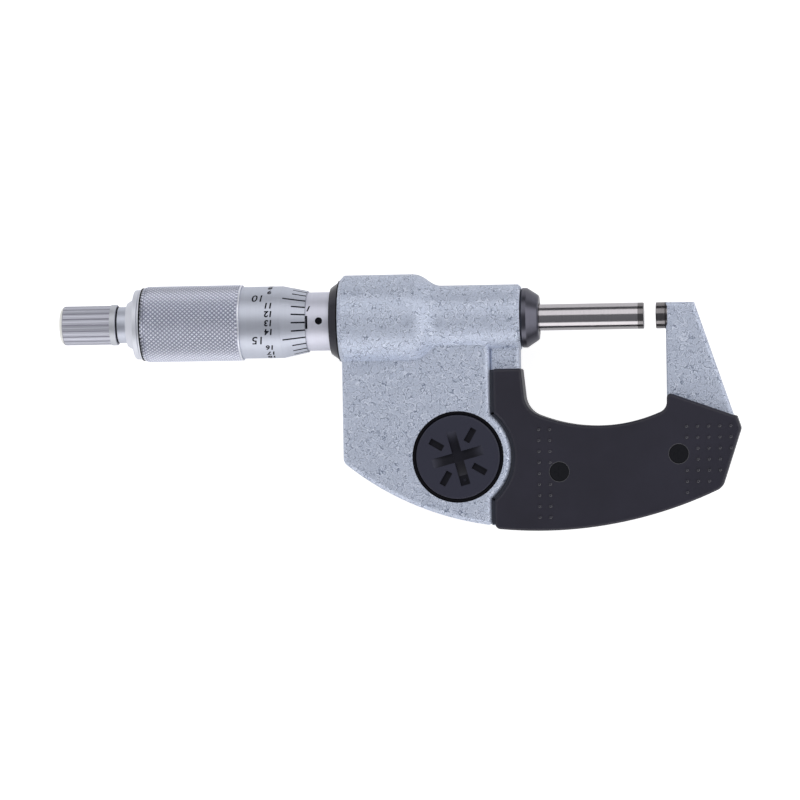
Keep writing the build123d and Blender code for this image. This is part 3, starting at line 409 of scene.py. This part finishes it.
looks = {
    "hammertone": makeHammertone(),
    "sleeve": makeTurned("satinSleeve", (0.72, 0.73, 0.82), 0.55, strength=0.05, even=0.7),
    "satin": makeTurned("satinChrome", (0.60, 0.63, 0.71), 0.50, strength=0.05, even=0.7),
    "flange": makeTurned("satinFlange", (0.78, 0.80, 0.86), 0.58, strength=0.05, even=0.7),
    "knurl": makeKnurled(),
    "ground": makeTurned("groundSteel", (0.50, 0.48, 0.50), 0.16, rings=5200.0, strength=0.2),
    "anvil": makeTurned("anvilSteel", (0.20, 0.19, 0.195), 0.20, rings=5200.0, strength=0.2),
    "carbide": makeTurned("lappedCarbide", (0.21, 0.20, 0.205), 0.16, rings=6000.0, strength=0.1),
    "ratchet": makeFluted(),
    # Painted highlight for the strips along the ratchet's flute flanks
    "flankHighlight": makeTurned("paintedFlankSheen", (0.76, 0.77, 0.84), 0.6, even=0.8),
    "clamp": makeTurned("darkClamp", (0.112, 0.112, 0.138), 0.33),
    "nut": makeTurned("blackNut", (0.05, 0.05, 0.06), 0.24),
    "screw": makeTurned("blackScrew", (0.056, 0.056, 0.064), 0.22, axis=2),
    "spring": makeTurned("springSteel", (0.40, 0.40, 0.42), 0.3),
    "brass": makeTurned("insertBrass", (0.72, 0.54, 0.26), 0.3, axis=2),
    "bronze": makeTurned("contactBronze", (0.72, 0.60, 0.42), 0.3, axis=1),
    "can": makeTurned("batteryCan", (0.70, 0.70, 0.72), 0.22, axis=2),
    "cover": makeMoulded("coverPlastic", (0.020, 0.019, 0.032), 0.46, specular=0.42),
    "dot": makeMoulded("dotPlastic", (0.026, 0.025, 0.038), 0.26, grain=0.03, specular=0.6),
    "cap": makeCap(),
    "seal": makeMoulded("sealRubber", (0.002, 0.002, 0.004), 0.5, grain=0.05, specular=0.12),
    "holder": makeMoulded("holderPlastic", (0.05, 0.05, 0.06), 0.5),
    "bezel": makeMoulded("bezelPlastic", (0.045, 0.048, 0.062), 0.42),
    "key": makeMoulded("keyPlastic", (0.40, 0.43, 0.50), 0.42, grain=0.1),
    "port": makeMoulded("portPlastic", (0.012, 0.012, 0.015), 0.4),
    "glass": makeMoulded("panelGlass", (0.42, 0.46, 0.42), 0.2, grain=0.02),
    "strip": makeMoulded("contactStrip", (0.55, 0.50, 0.42), 0.6),
    "board": makeMoulded("circuitLaminate", (0.02, 0.13, 0.06), 0.35),
    "mat": makeMoulded("keyMatRubber", (0.45, 0.45, 0.45), 0.6),
    "encoder": makeMoulded("encoderLaminate", (0.45, 0.32, 0.10), 0.4),
    "felt": makeMoulded("wiperFelt", (0.16, 0.15, 0.14), 0.95, grain=0.8),
    "rim": makeMoulded("recessRim", (0.05, 0.05, 0.06), 0.35, grain=0.05),
    # Painted shade for the groove between the flat head and the heat cover
    "groove": makeMoulded("grooveShadePaint", (0.035, 0.040, 0.060), 0.5, grain=0.3),
    "ink": makeMoulded("scaleInk", (0.004, 0.004, 0.009), 0.6, grain=0.05, specular=0.12),
    "segment": makeMoulded("readoutSegment", (0.02, 0.022, 0.02), 0.4, grain=0.02),
    "window": makeClear(),
}

nodeLooks = {
    "frame": "hammertone", "anvil": "anvil", "anvil_tip": "carbide",
    "heat_cover_back": "cover", "heat_cover_front": "cover",
    "cover_screws": "screw", "cover_inserts": "brass",
    "battery_cap": "cap", "cap_seal_ring": "seal", "battery": "can",
    "battery_holder": "holder", "battery_contact": "bronze",
    "display_bezel": "bezel", "display_gasket": "seal", "display_window": "window",
    "lcd_panel": "glass", "contact_strip": "strip", "circuit_board": "board", "key_mat": "mat",
    "key_origin": "key", "key_unit": "key", "key_zero": "key", "key_hold": "key",
    "bezel_screws": "screw", "data_port_cover": "port", "data_port_screws": "screw",
    # The inner sleeve takes the black nut finish as painted shade, so that the spanner hole over it
    # reads dark
    "data_connector": "port", "barrel_nut": "nut", "inner_sleeve": "nut",
    "adjusting_nut": "ground", "sleeve": "sleeve", "rotor_bush": "ground", "rotor_key": "ground",
    "encoder_rotor": "encoder", "encoder_stator": "encoder", "encoder_lead": "encoder",
    "spindle_bush": "ground", "wiper_seal": "felt", "clamp_collet": "ground", "clamp_ring": "clamp",
    "spindle": "ground", "spindle_tip": "carbide", "thimble": "satin", "thimble_grip": "knurl",
    "thimble_cap": "flange", "ratchet_seat": "satin", "ratchet_crown": "ground",
    "ratchet_cap": "ratchet", "ratchet_screw": "ground", "ratchet_spring": "spring",
}


def dressNodes():
    for name, look in nodeLooks.items():
        for slot in nodes[name].material_slots:
            slot.material = looks[look]


dressNodes()
print("materials assigned")


# Mesh tools for the pieces that are added

weld = 0.0001 * mm               # corners closer than this are one
ringSteps = 128


def newPiece(name, shape, look, body, slot, *hidden):
    # A finished mesh becomes a piece that rides on its body
    bmesh.ops.remove_doubles(shape, verts=shape.verts, dist=weld)
    bmesh.ops.recalc_face_normals(shape, faces=shape.faces)
    mesh = bpy.data.meshes.new(name)
    shape.to_mesh(mesh)
    shape.free()
    mesh.materials.append(looks[look])
    piece = bpy.data.objects.new(name, mesh)
    scene.collection.objects.link(piece)
    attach(piece, body)
    if hidden:
        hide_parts(*hidden)
    return piece


def addTo(shape, part):
    # Adds one mesh to another
    mesh = bpy.data.meshes.new("part")
    part.to_mesh(mesh)
    part.free()
    shape.from_mesh(mesh)
    bpy.data.meshes.remove(mesh)


def plate(width, height, thick):
    part = bmesh.new()
    bmesh.ops.create_cube(part, size=1)
    bmesh.ops.scale(part, verts=part.verts, vec=(width, height, thick))
    return part


def character(words, height, thick, narrow=0.8, shear=0.0, bold=0.0):
    # Words or figures as a thin solid in their own plane, centred
    curve = bpy.data.curves.new("words", "FONT")
    curve.body = words
    curve.resolution_u = 3
    curve.extrude = thick / 2
    curve.shear = shear
    curve.offset = bold
    holder = bpy.data.objects.new("words", curve)
    mesh = bpy.data.meshes.new_from_object(holder)
    part = bmesh.new()
    part.from_mesh(mesh)
    bpy.data.objects.remove(holder)
    bpy.data.curves.remove(curve)
    bpy.data.meshes.remove(mesh)
    across = [vert.co.x for vert in part.verts]
    upward = [vert.co.y for vert in part.verts]
    size = height / (max(upward) - min(upward))
    middle = ((max(across) + min(across)) / 2, (max(upward) + min(upward)) / 2, 0)
    bmesh.ops.translate(part, verts=part.verts, vec=-Vector(middle))
    bmesh.ops.scale(part, verts=part.verts, vec=(size * narrow, size, 1))
    return part


def bendRound(part, x, turn, radiusAt, cuts, span):
    # Bends a flat part round the spindle's axis, so that its width runs towards the ratchet
    # and its height, cut across for the bend, towards the lower side. The turn is from the back
    for step in range(1, cuts + 1):
        level = span * (step / (cuts + 1) - 0.5)
        geometry = part.verts[:] + part.edges[:] + part.faces[:]
        bmesh.ops.bisect_plane(part, geom=geometry, plane_co=(0, level, 0), plane_no=(0, 1, 0))
    for vert in part.verts:
        along = x - vert.co.x
        radius = radiusAt(along)
        angle = turn + vert.co.y / radius
        reach = radius + vert.co.z
        vert.co = (along, -reach * math.sin(angle), reach * math.cos(angle))
    return part


def makeRing(name, front, width, inner, outer, look, body, slot):
    # A thin ring round the spindle's axis, from its front face towards the ratchet
    shape = bmesh.new()
    corners = [(front, inner), (front, outer), (front - width, outer), (front - width, inner)]
    verts = [shape.verts.new((x, radius, 0)) for x, radius in corners]
    edges = [shape.edges.new((verts[k - 1], verts[k])) for k in range(4)]
    bmesh.ops.spin(shape, geom=verts + edges, cent=(0, 0, 0), axis=(1, 0, 0),
                   angle=math.tau, steps=ringSteps, use_merge=True)
    newPiece(name, shape, look, body, slot)


# Knurl of the grip sleeve

grip = {
    "diamondsAround": 55,
    "rows": 22,
    "depth": 0.23 * mm,
    "flank": 0.27 * mm,          # sloping side of each diamond, seen from above
    "frontBand": 0.30 * mm,
    "frontBevel": 0.12 * mm,
    "bandStep": 0.05 * mm,       # slope from the diamonds to the band
    "rearChamfer": 1.4 * mm,
    "rearRadius": 8.45 * mm,
    "bore": 8.0 * mm,
    "gapShift": 0.22 * mm,
    "gapWidth": 0.30 * mm,
    "gapProud": 0.41 * mm,
    "lipProud": 0.18 * mm,
    "sunk": 0.20 * mm,           # how far gap and lip reach into the grip
    "near": 0.01 * mm,
}


def makeGrip():
    low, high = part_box("thimble_grip")
    root = high.y - grip["depth"]
    front = high.x - grip["frontBand"]
    steps = grip["rows"] * 2
    around = grip["diamondsAround"] * 2
    pitch = (front - low.x) / steps
    taper = (high.y - grip["rearRadius"]) / grip["rearChamfer"]
    profile = []
    for step in range(steps + 1):
        x = front - pitch * step
        drop = max(0.0, low.x + grip["rearChamfer"] - x) * taper
        profile.append((x, root - drop))
    bevel = grip["frontBevel"]
    profile += [
        (low.x, grip["bore"]),
        (high.x, grip["bore"]),
        (high.x, high.y - bevel),
        (high.x - bevel, high.y),
        (front + grip["bandStep"], high.y),
    ]
    shape = bmesh.new()
    ring = [shape.verts.new((x, radius, 0)) for x, radius in profile]
    edges = [shape.edges.new((ring[k - 1], ring[k])) for k in range(len(ring))]
    bmesh.ops.spin(shape, geom=ring + edges, cent=(0, 0, 0), axis=(1, 0, 0),
                   angle=math.tau, steps=around, use_merge=True)
    bmesh.ops.remove_doubles(shape, verts=shape.verts, dist=0.1 * grip["near"])
    bmesh.ops.recalc_face_normals(shape, faces=shape.faces)
    corners, centres = [], []
    for vert in shape.verts:
        x, y, z = vert.co
        if x > front + grip["near"] or math.hypot(y, z) < grip["bore"] + 5 * grip["near"]:
            continue
        column = round(math.atan2(z, y) / math.tau * around)
        row = round((front - x) / pitch)
        if (column + row) % 2 == 0:
            corners.append(vert)
        elif 0 < row < steps:
            centres.append(vert)
    bmesh.ops.connect_verts(shape, verts=corners)
    bmesh.ops.dissolve_verts(shape, verts=centres)
    kept = set(corners)
    diamonds = [face for face in shape.faces
                if len(face.verts) == 4 and kept.issuperset(face.verts)]
    bmesh.ops.inset_individual(shape, faces=diamonds, thickness=grip["flank"],
                               depth=grip["depth"], use_even_offset=True)
    newPiece("grip_knurl", shape, "knurl", "spindle_body", "grip_chrome", "thimble_grip")


def makeGripGap():
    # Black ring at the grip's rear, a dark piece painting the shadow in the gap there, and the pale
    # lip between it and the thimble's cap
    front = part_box("thimble_grip")[0].x
    rear = min(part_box("thimble_cap")[1].x, front - grip["sunk"])
    lip = front + grip["gapShift"]
    inner = grip["bore"] - grip["sunk"]
    outer = grip["rearRadius"]
    makeRing("grip_gap_shade", lip + grip["gapWidth"], grip["gapWidth"], inner,
             outer + grip["gapProud"], "seal", "spindle_body", "nut_black")
    makeRing("grip_lip", lip, lip - rear, inner, outer + grip["lipProud"],
             "flange", "spindle_body", "grip_chrome")


makeGrip()
makeGripGap()
print("grip knurled")


# Painted highlights on the ratchet cap's flutes: bright strips along the flanks on the lower side,
# standing in for the light they catch

flutes = {
    "count": 20,
    "knob": 4.75 * mm,
    "rear": -143.6 * mm,
    "front": -132.25 * mm,
    "width": 0.17 * mm,
    "offset": 0.70 * mm,           # from the flute's middle towards the lower side
    "thick": 0.03 * mm,
}


def makeFlanks():
    shape = bmesh.new()
    length = flutes["front"] - flutes["rear"]
    for step in range(flutes["count"]):
        turn = math.tau * step / flutes["count"] + flutes["offset"] / flutes["knob"]
        strip = plate(length, flutes["width"], flutes["thick"])
        middle = (flutes["front"] + flutes["rear"]) / 2
        addTo(shape, bendRound(strip, middle, turn, lambda along: flutes["knob"], 0, 0))
    newPiece("flute_flank_highlights", shape, "flankHighlight", "ratchet_body", "ratchet_metal")


# Dark rings that paint the shade in narrow gaps as black lines: front face, width, inner and outer
# radius, body

gaps = {
    "collar_gap_shade": (-130.36 * mm, 0.27 * mm, 3.6 * mm, 4.42 * mm, "ratchet_body"),
    "nut_gap_shade": (-76.01 * mm, 0.34 * mm, 9.2 * mm, 9.78 * mm, "frame_body"),
    "anvil_gap_shade": (2.42 * mm, 0.22 * mm, 3.0 * mm, 3.20 * mm, "frame_body"),
}
spannerHole = {
    "x": -80.74 * mm,
    "radius": 0.86 * mm,
    "level": 6.93 * mm,          # painted shade of the hole, as a dark disc above the sleeve's axis
    "thick": 0.04 * mm,
    "steps": 32,
}


def makeGaps():
    # Each ring is painted shade in its gap
    for name, (front, width, inner, outer, body) in gaps.items():
        makeRing(name, front, width, inner, outer, "seal", body, "nut_black")


def makeHoleFloor():
    # A dark disc down in the spanner hole paints the shade in it
    radius = spannerHole["radius"]
    shape = bmesh.new()
    bmesh.ops.create_cone(shape, cap_ends=True, segments=spannerHole["steps"], radius1=radius,
                          radius2=radius, depth=spannerHole["thick"])
    place = (spannerHole["x"], 0, spannerHole["level"])
    bmesh.ops.translate(shape, verts=shape.verts, vec=place)
    newPiece("spanner_hole_shade", shape, "seal", "sleeve_body", "nut_black")


makeFlanks()
makeGaps()
makeHoleFloor()
print("flutes and gaps drawn")


# Graduations and figures

ink = {
    "thick": 0.024 * mm,         # half of it stands proud
    "slant": 0.12,
    "wide": 1.05,
    "bold": 0.034,
    "largeBold": 0.010,          # of the large figures
    "cuts": 5,                   # across each figure, where it bends
    "markCuts": 7,
}
thimbleScale = {
    "divisions": 25,
    "atBack": 13,                # reading that faces the back
    "shift": 2.4,                # degrees, that line below the middle
    "coneLength": 6.0 * mm,
    "edgeRadius": 7.4 * mm,
    "lineWidth": 0.36 * mm,
    "shortLine": 3.35 * mm,
    "longLine": 5.5 * mm,
    "edgeGap": 0.02 * mm,
    "figureGap": 8.85 * mm,      # thimble's edge to the small figures
    "figureHeight": 1.55 * mm,
    "largeGap": 11.65 * mm,
    "largeHeight": 2.1 * mm,
    "shadeInset": 0.01 * mm,      # painted shadow line round the thimble's edge
    "shadeWidth": 0.11 * mm,
    "shadeReach": (-0.3 * mm, 0.012 * mm),
}
sleeveScale = {
    "first": -83.70 * mm,        # mark of 0.1 inch
    "step": 2.54 * mm,
    "count": 9,
    "width": 0.50 * mm,
    "length": 3.15 * mm,
    "shift": 2.6,                # degrees
    "figureTurn": -25.0,         # degrees
    "figureHeight": 1.4 * mm,
    "figureShift": 0.45 * mm,    # figure in front of its mark
    "wide": 1.1,
    "slant": 0.36,
}


def makeThimbleScale():
    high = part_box("thimble")[1]
    cone = (high.y - thimbleScale["edgeRadius"]) / thimbleScale["coneLength"]

    def radiusAt(x):
        return min(high.y, thimbleScale["edgeRadius"] + (high.x - x) * cone)

    shape = bmesh.new()
    count = thimbleScale["divisions"]
    for reading in range(count):
        steps = reading - thimbleScale["atBack"]
        turn = math.radians(steps * 360 / count + thimbleScale["shift"])
        fifth = reading % 5 == 0
        length = thimbleScale["longLine" if fifth else "shortLine"]
        line = plate(length, thimbleScale["lineWidth"], ink["thick"])
        middle = high.x - thimbleScale["edgeGap"] - length / 2
        addTo(shape, bendRound(line, middle, turn, radiusAt, 0, 0))
        height = thimbleScale["largeHeight" if fifth else "figureHeight"]
        place = high.x - thimbleScale["largeGap" if fifth else "figureGap"]
        bold = ink["largeBold" if fifth else "bold"]
        figure = character(str(reading), height, ink["thick"], ink["wide"], ink["slant"], bold)
        addTo(shape, bendRound(figure, place, turn, radiusAt, ink["cuts"], height))
    newPiece("thimble_scale", shape, "ink", "spindle_body", "nut_black")
    # A thin dark ring at the thimble's front edge paints the shadow line there
    inner, outer = [thimbleScale["edgeRadius"] + reach for reach in thimbleScale["shadeReach"]]
    makeRing("thimble_edge_shade", high.x - thimbleScale["shadeInset"], thimbleScale["shadeWidth"],
             inner, outer, "ink", "spindle_body", "nut_black")


def makeSleeveScale():
    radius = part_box("sleeve")[1].y
    shape = bmesh.new()
    for number in range(1, sleeveScale["count"] + 1):
        x = sleeveScale["first"] - (number - 1) * sleeveScale["step"]
        mark = plate(sleeveScale["width"], sleeveScale["length"], ink["thick"])
        turn = math.radians(sleeveScale["shift"])
        length = sleeveScale["length"]
        addTo(shape, bendRound(mark, x, turn, lambda along: radius, ink["markCuts"], length))
        height = sleeveScale["figureHeight"]
        figure = character(str(number), height, ink["thick"], sleeveScale["wide"],
                           sleeveScale["slant"], ink["bold"])
        turn = math.radians(sleeveScale["figureTurn"])
        place = x + sleeveScale["figureShift"]
        addTo(shape, bendRound(figure, place, turn, lambda along: radius, ink["cuts"], height))
    newPiece("sleeve_scale", shape, "ink", "sleeve_body", "nut_black")


makeThimbleScale()
makeSleeveScale()
print("scales marked")


# Grip dots and screw recess rims on the heat covers

dots = {
    "radius": 0.45 * mm,
    "height": 0.32 * mm,
    "pitch": 2.63 * mm,
    "leftStart": (-28.3 * mm, -26.9 * mm),
    "leftColumns": 2,
    "leftRows": 9,
    "rightStart": (7.05 * mm, -26.65 * mm),
    "rightRows": [(0, 4), (0, 4), (1, 4), (1, 3), (0, 3), (0, 2), (0, 0)],   # first, last column
    "clearance": 0.1 * mm,       # to a screw recess
    "around": 12,
    "upward": 6,
}
rims = {
    "places": [(-23.5 * mm, -37.1 * mm), (5.1 * mm, -33.2 * mm)],
    "radius": 2.42 * mm,
    "bead": 0.09 * mm,
    "beadSteps": 8,
    "steps": 64,
}


def dotPlaces():
    places = []
    for column in range(dots["leftColumns"]):
        for row in range(dots["leftRows"]):
            places.append((dots["leftStart"], column, row))
    for row, (first, last) in enumerate(dots["rightRows"]):
        for column in range(first, last + 1):
            places.append((dots["rightStart"], column, row))
    spots = [(start[0] + column * dots["pitch"], start[1] - row * dots["pitch"])
             for start, column, row in places]
    clear = rims["radius"] + dots["radius"] + dots["clearance"]
    return [spot for spot in spots
            if min(math.dist(spot, place) for place in rims["places"]) > clear]


def makeDots(name, side):
    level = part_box("heat_cover_back")[1].z * side
    shape = bmesh.new()
    for x, y in dotPlaces():
        dome = bmesh.ops.create_uvsphere(shape, u_segments=dots["around"],
                                         v_segments=dots["upward"], radius=dots["radius"])
        flat = (1, 1, dots["height"] / dots["radius"])
        bmesh.ops.scale(shape, verts=dome["verts"], vec=flat)
        bmesh.ops.translate(shape, verts=dome["verts"], vec=(x, y, level))
    newPiece(name, shape, "dot", "frame_body", "cover_plastic")


def makeRims():
    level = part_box("heat_cover_back")[1].z
    shape = bmesh.new()
    for x, y in rims["places"]:
        circle = bmesh.ops.create_circle(shape, segments=rims["beadSteps"], radius=rims["bead"])
        bead = circle["verts"]
        upright = Matrix.Rotation(math.pi / 2, 4, "X")
        bmesh.ops.transform(shape, matrix=upright, verts=bead)
        place = (x + rims["radius"], y, level - rims["bead"] / 2)
        bmesh.ops.translate(shape, verts=bead, vec=place)
        edges = list({edge for vert in bead for edge in vert.link_edges})
        bmesh.ops.spin(shape, geom=bead + edges, cent=(x, y, level), axis=(0, 0, 1),
                       angle=math.tau, steps=rims["steps"], use_merge=True)
    newPiece("recess_rims", shape, "rim", "frame_body", "cover_plastic")


groove = {
    "panelRight": -39.9 * mm,
    "width": 0.8 * mm,
    "level": 3.6 * mm,             # back face of the bow
    "thick": 0.25 * mm,
    "top": -12.4 * mm,
    "foot": -49.6 * mm,
    "bulge": 12.8 * mm,            # radius round the battery cap
    "steps": 48,
}


def makeGroove():
    # Dark band on the casting between the flat head and the heat cover: painted shade in the groove
    low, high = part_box("battery_cap")
    centre = (low + high) / 2
    inner = groove["bulge"]
    outer = inner + groove["width"]
    right = groove["panelRight"]
    rise = math.sqrt(inner ** 2 - (right - centre.x) ** 2)
    shape = bmesh.new()
    for start, end in ((groove["top"], centre.y + rise), (centre.y - rise, groove["foot"])):
        strip = plate(groove["width"], start - end, groove["thick"])
        middle = (right + groove["width"] / 2, (start + end) / 2,
                  groove["level"] + groove["thick"] / 2)
        bmesh.ops.translate(strip, verts=strip.verts, vec=middle)
        addTo(shape, strip)
    reach = math.asin(rise / inner)
    corners = [(inner, 0), (outer, 0), (outer, groove["thick"]), (inner, groove["thick"])]
    start = Matrix.Rotation(-reach, 4, "Z")
    place = Matrix.Translation((centre.x, centre.y, groove["level"]))
    verts = [shape.verts.new(place @ start @ Vector((x, 0, z))) for x, z in corners]
    face = shape.faces.new(verts)
    bmesh.ops.spin(shape, geom=[face] + verts + face.edges[:], cent=centre, axis=(0, 0, 1),
                   angle=2 * reach, steps=groove["steps"])
    newPiece("cover_groove_shade", shape, "groove", "frame_body", "frame_enamel")


makeGroove()
makeDots("grip_dots_back", 1)
makeDots("grip_dots_front", -1)
makeRims()
print("covers dotted")


# Readout and key marks on the display side

readout = {
    "figures": "2.870",
    "height": 6.8 * mm,
    "width": 3.5 * mm,
    "advance": 5.0 * mm,
    "stroke": 0.75 * mm,
    "gap": 0.12 * mm,
    "thick": 0.03 * mm,
    "unitHeight": 2.4 * mm,
    "unitDrop": 0.325,           # of the figures' height
}
lit = {"0": "abcdef", "2": "abdeg", "7": "abc", "8": "abcdefg"}     # bars that each figure shows


def displayPlace(part, x, y, z):
    # A flat part faces the display side: its width runs towards the ratchet
    for vert in part.verts:
        u, v, w = vert.co
        vert.co = (x - u, y + v, z - w)
    return part


def segment(length, upright, u, v):
    # One bar of a figure, with pointed ends
    stroke = readout["stroke"]
    part = bmesh.new()
    bmesh.ops.create_circle(part, cap_ends=True, segments=6, radius=stroke / math.sqrt(3))
    bmesh.ops.rotate(part, verts=part.verts, matrix=Matrix.Rotation(math.pi / 2, 3, "Z"))
    for vert in part.verts:
        if abs(vert.co.x) > 0.01 * mm:
            vert.co.x += math.copysign((length - stroke) / 2, vert.co.x)
    if upright:
        bmesh.ops.rotate(part, verts=part.verts, matrix=Matrix.Rotation(math.pi / 2, 3, "Z"))
    raised = bmesh.ops.extrude_face_region(part, geom=part.faces[:])
    verts = [item for item in raised["geom"] if isinstance(item, bmesh.types.BMVert)]
    bmesh.ops.translate(part, verts=verts, vec=(0, 0, readout["thick"]))
    bmesh.ops.translate(part, verts=part.verts, vec=(u, v, 0))
    return part


def makeReadout():
    low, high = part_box("lcd_panel")
    middle = (low + high) / 2
    half = readout["height"] / 4
    wide = readout["width"] / 2
    bars = {
        "a": (False, 0, 2 * half), "g": (False, 0, 0), "d": (False, 0, -2 * half),
        "b": (True, wide, half), "c": (True, wide, -half),
        "f": (True, -wide, half), "e": (True, -wide, -half),
    }
    shape = bmesh.new()
    figures = readout["figures"].replace(".", "")
    start = -readout["advance"] * (len(figures) / 2 - 0.5) - readout["width"] / 2
    for place, figure in enumerate(figures):
        across = start + place * readout["advance"]
        for bar in lit[figure]:
            upright, u, v = bars[bar]
            length = (2 * half if upright else 2 * wide) - readout["gap"] * 2
            part = segment(length, upright, across + u, v)
            addTo(shape, displayPlace(part, middle.x, middle.y, low.z))
    point = plate(readout["stroke"], readout["stroke"], readout["thick"])
    pointPlace = start + readout["advance"] / 2
    addTo(shape, displayPlace(point, middle.x - pointPlace, middle.y - 2 * half, low.z))
    unit = character("mm", readout["unitHeight"], readout["thick"])
    unitPlace = start + len(figures) * readout["advance"]
    unitLevel = middle.y - readout["unitDrop"] * readout["height"]
    addTo(shape, displayPlace(unit, middle.x - unitPlace, unitLevel, low.z))
    newPiece("readout_figures", shape, "segment", "frame_body", "lcd_glass")


keyMarks = {
    "origin": ("+", 1.8 * mm),
    "unit": ("mm", 1.5 * mm),
    "zero": ("0", 2.4 * mm),
    "hold": ("H", 2.4 * mm),
}


def makeKeyMark(key, words, height):
    low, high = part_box("key_" + key)
    part = character(words, height, ink["thick"], 1.0, 0.0, ink["bold"])
    middle = (low + high) / 2
    displayPlace(part, middle.x, middle.y, low.z)
    newPiece(key + "_mark", part, "ink", "key_" + key + "_body", "nut_black")


makeReadout()
for key, (words, height) in keyMarks.items():
    makeKeyMark(key, words, height)
print("display side marked")


# Floor and lights

stage = {
    "middle": (-62 * mm, -20 * mm, 0),
    "sky": (0.92, 0.94, 1.0),
    "horizon": 0.11,
    "zenith": 0.23,
    "floorColor": (0.55, 0.55, 0.56),
    "floorHalf": 3000 * mm,
    "floorGap": 0.05 * mm,       # under the lowest face
    "floorGlow": 0.86,           # what the floor adds to its own white, seen straight
    "mirrored": 0.56,            # share of that glow which gloss picks up
    "lampColor": (1.0, 0.985, 0.985),
    "lampDistance": 800 * mm,
    "panels": {                  # tilt from the zenith, azimuth, width and height, radiance
        "upperPanel": (40, 90, (2.2, 0.64), 1.08),
        "lowerPanel": (68, -90, (2.2, 0.53), 1.55),
        "sidePanel": (62, 0, (0.9, 0.45), 1.6),
        "rearPanel": (64, 180, (0.9, 0.80), 0.55),
    },
}


def makeFloor():
    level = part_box("display_bezel")[0].z - stage["floorGap"]
    shape = bmesh.new()
    bmesh.ops.create_grid(shape, x_segments=1, y_segments=1, size=stage["floorHalf"])
    bmesh.ops.translate(shape, verts=shape.verts, vec=(0, 0, level))
    mesh = bpy.data.meshes.new("floor")
    shape.to_mesh(mesh)
    shape.free()
    floor = bpy.data.objects.new("floor", mesh)
    scene.collection.objects.link(floor)
    material = bpy.data.materials.new("paleFloor")
    material.use_nodes = True
    material.node_tree.nodes.clear()
    output = addNode(material, "ShaderNodeOutputMaterial")
    diffuse = addNode(material, "ShaderNodeBsdfDiffuse", Color=(*stage["floorColor"], 1))
    glow = addNode(material, "ShaderNodeEmission")
    rays = addNode(material, "ShaderNodeLightPath").outputs
    straight = combine(material, "MAXIMUM", rays["Is Camera Ray"], rays["Is Transmission Ray"])
    glossy = combine(material, "MULTIPLY", rays["Is Glossy Ray"], stage["mirrored"])
    either = combine(material, "MAXIMUM", straight, glossy)
    wire(material, combine(material, "MULTIPLY", either, stage["floorGlow"]), 0, glow, "Strength")
    both = addNode(material, "ShaderNodeAddShader")
    wire(material, diffuse, 0, both, 0)
    wire(material, glow, 0, both, 1)
    wire(material, both, 0, output, "Surface")
    mesh.materials.append(material)


def panelLight(name, tilt, azimuth, size, radiance):
    # A soft panel of even radiance, which faces the middle of the object
    data = bpy.data.lights.new(name, "AREA")
    data.shape = "RECTANGLE"
    data.size, data.size_y = size
    data.energy = radiance * math.pi * size[0] * size[1]
    data.color = stage["lampColor"]
    lamp = bpy.data.objects.new(name, data)
    scene.collection.objects.link(lamp)
    lamp.visible_camera = False
    down = math.radians(tilt)
    swing = math.radians(azimuth)
    out = Vector((math.sin(down) * math.cos(swing), math.sin(down) * math.sin(swing),
                  math.cos(down)))
    lamp.location = Vector(stage["middle"]) + out * stage["lampDistance"]
    lamp.rotation_euler = (-out).to_track_quat("-Z", "Y").to_euler()


def makeWorld():
    # Dim at the horizon and lighter overhead, plain white where it is looked at
    world = bpy.data.worlds.new("studio")
    scene.world = world
    world.use_nodes = True
    ground = world.node_tree.nodes["Background"]
    coordinate = addNode(world, "ShaderNodeTexCoord")
    parts = addNode(world, "ShaderNodeSeparateXYZ")
    wire(world, coordinate, "Generated", parts, "Vector")
    height = mapRange(world, parts, "Z", 0.0, 1.0, stage["horizon"], stage["zenith"])
    rays = addNode(world, "ShaderNodeLightPath").outputs
    seen = combine(world, "MAXIMUM", rays["Is Camera Ray"], rays["Is Transmission Ray"])
    tint = rampNode(world, seen, 0, [(0.0, stage["sky"]), (1.0, grey(1.0))])
    wire(world, tint, "Color", ground, "Color")
    wire(world, combine(world, "MAXIMUM", seen, height), 0, ground, "Strength")


makeFloor()
makeWorld()
for name, panel in stage["panels"].items():
    panelLight(name, *panel)
print("stage lit")
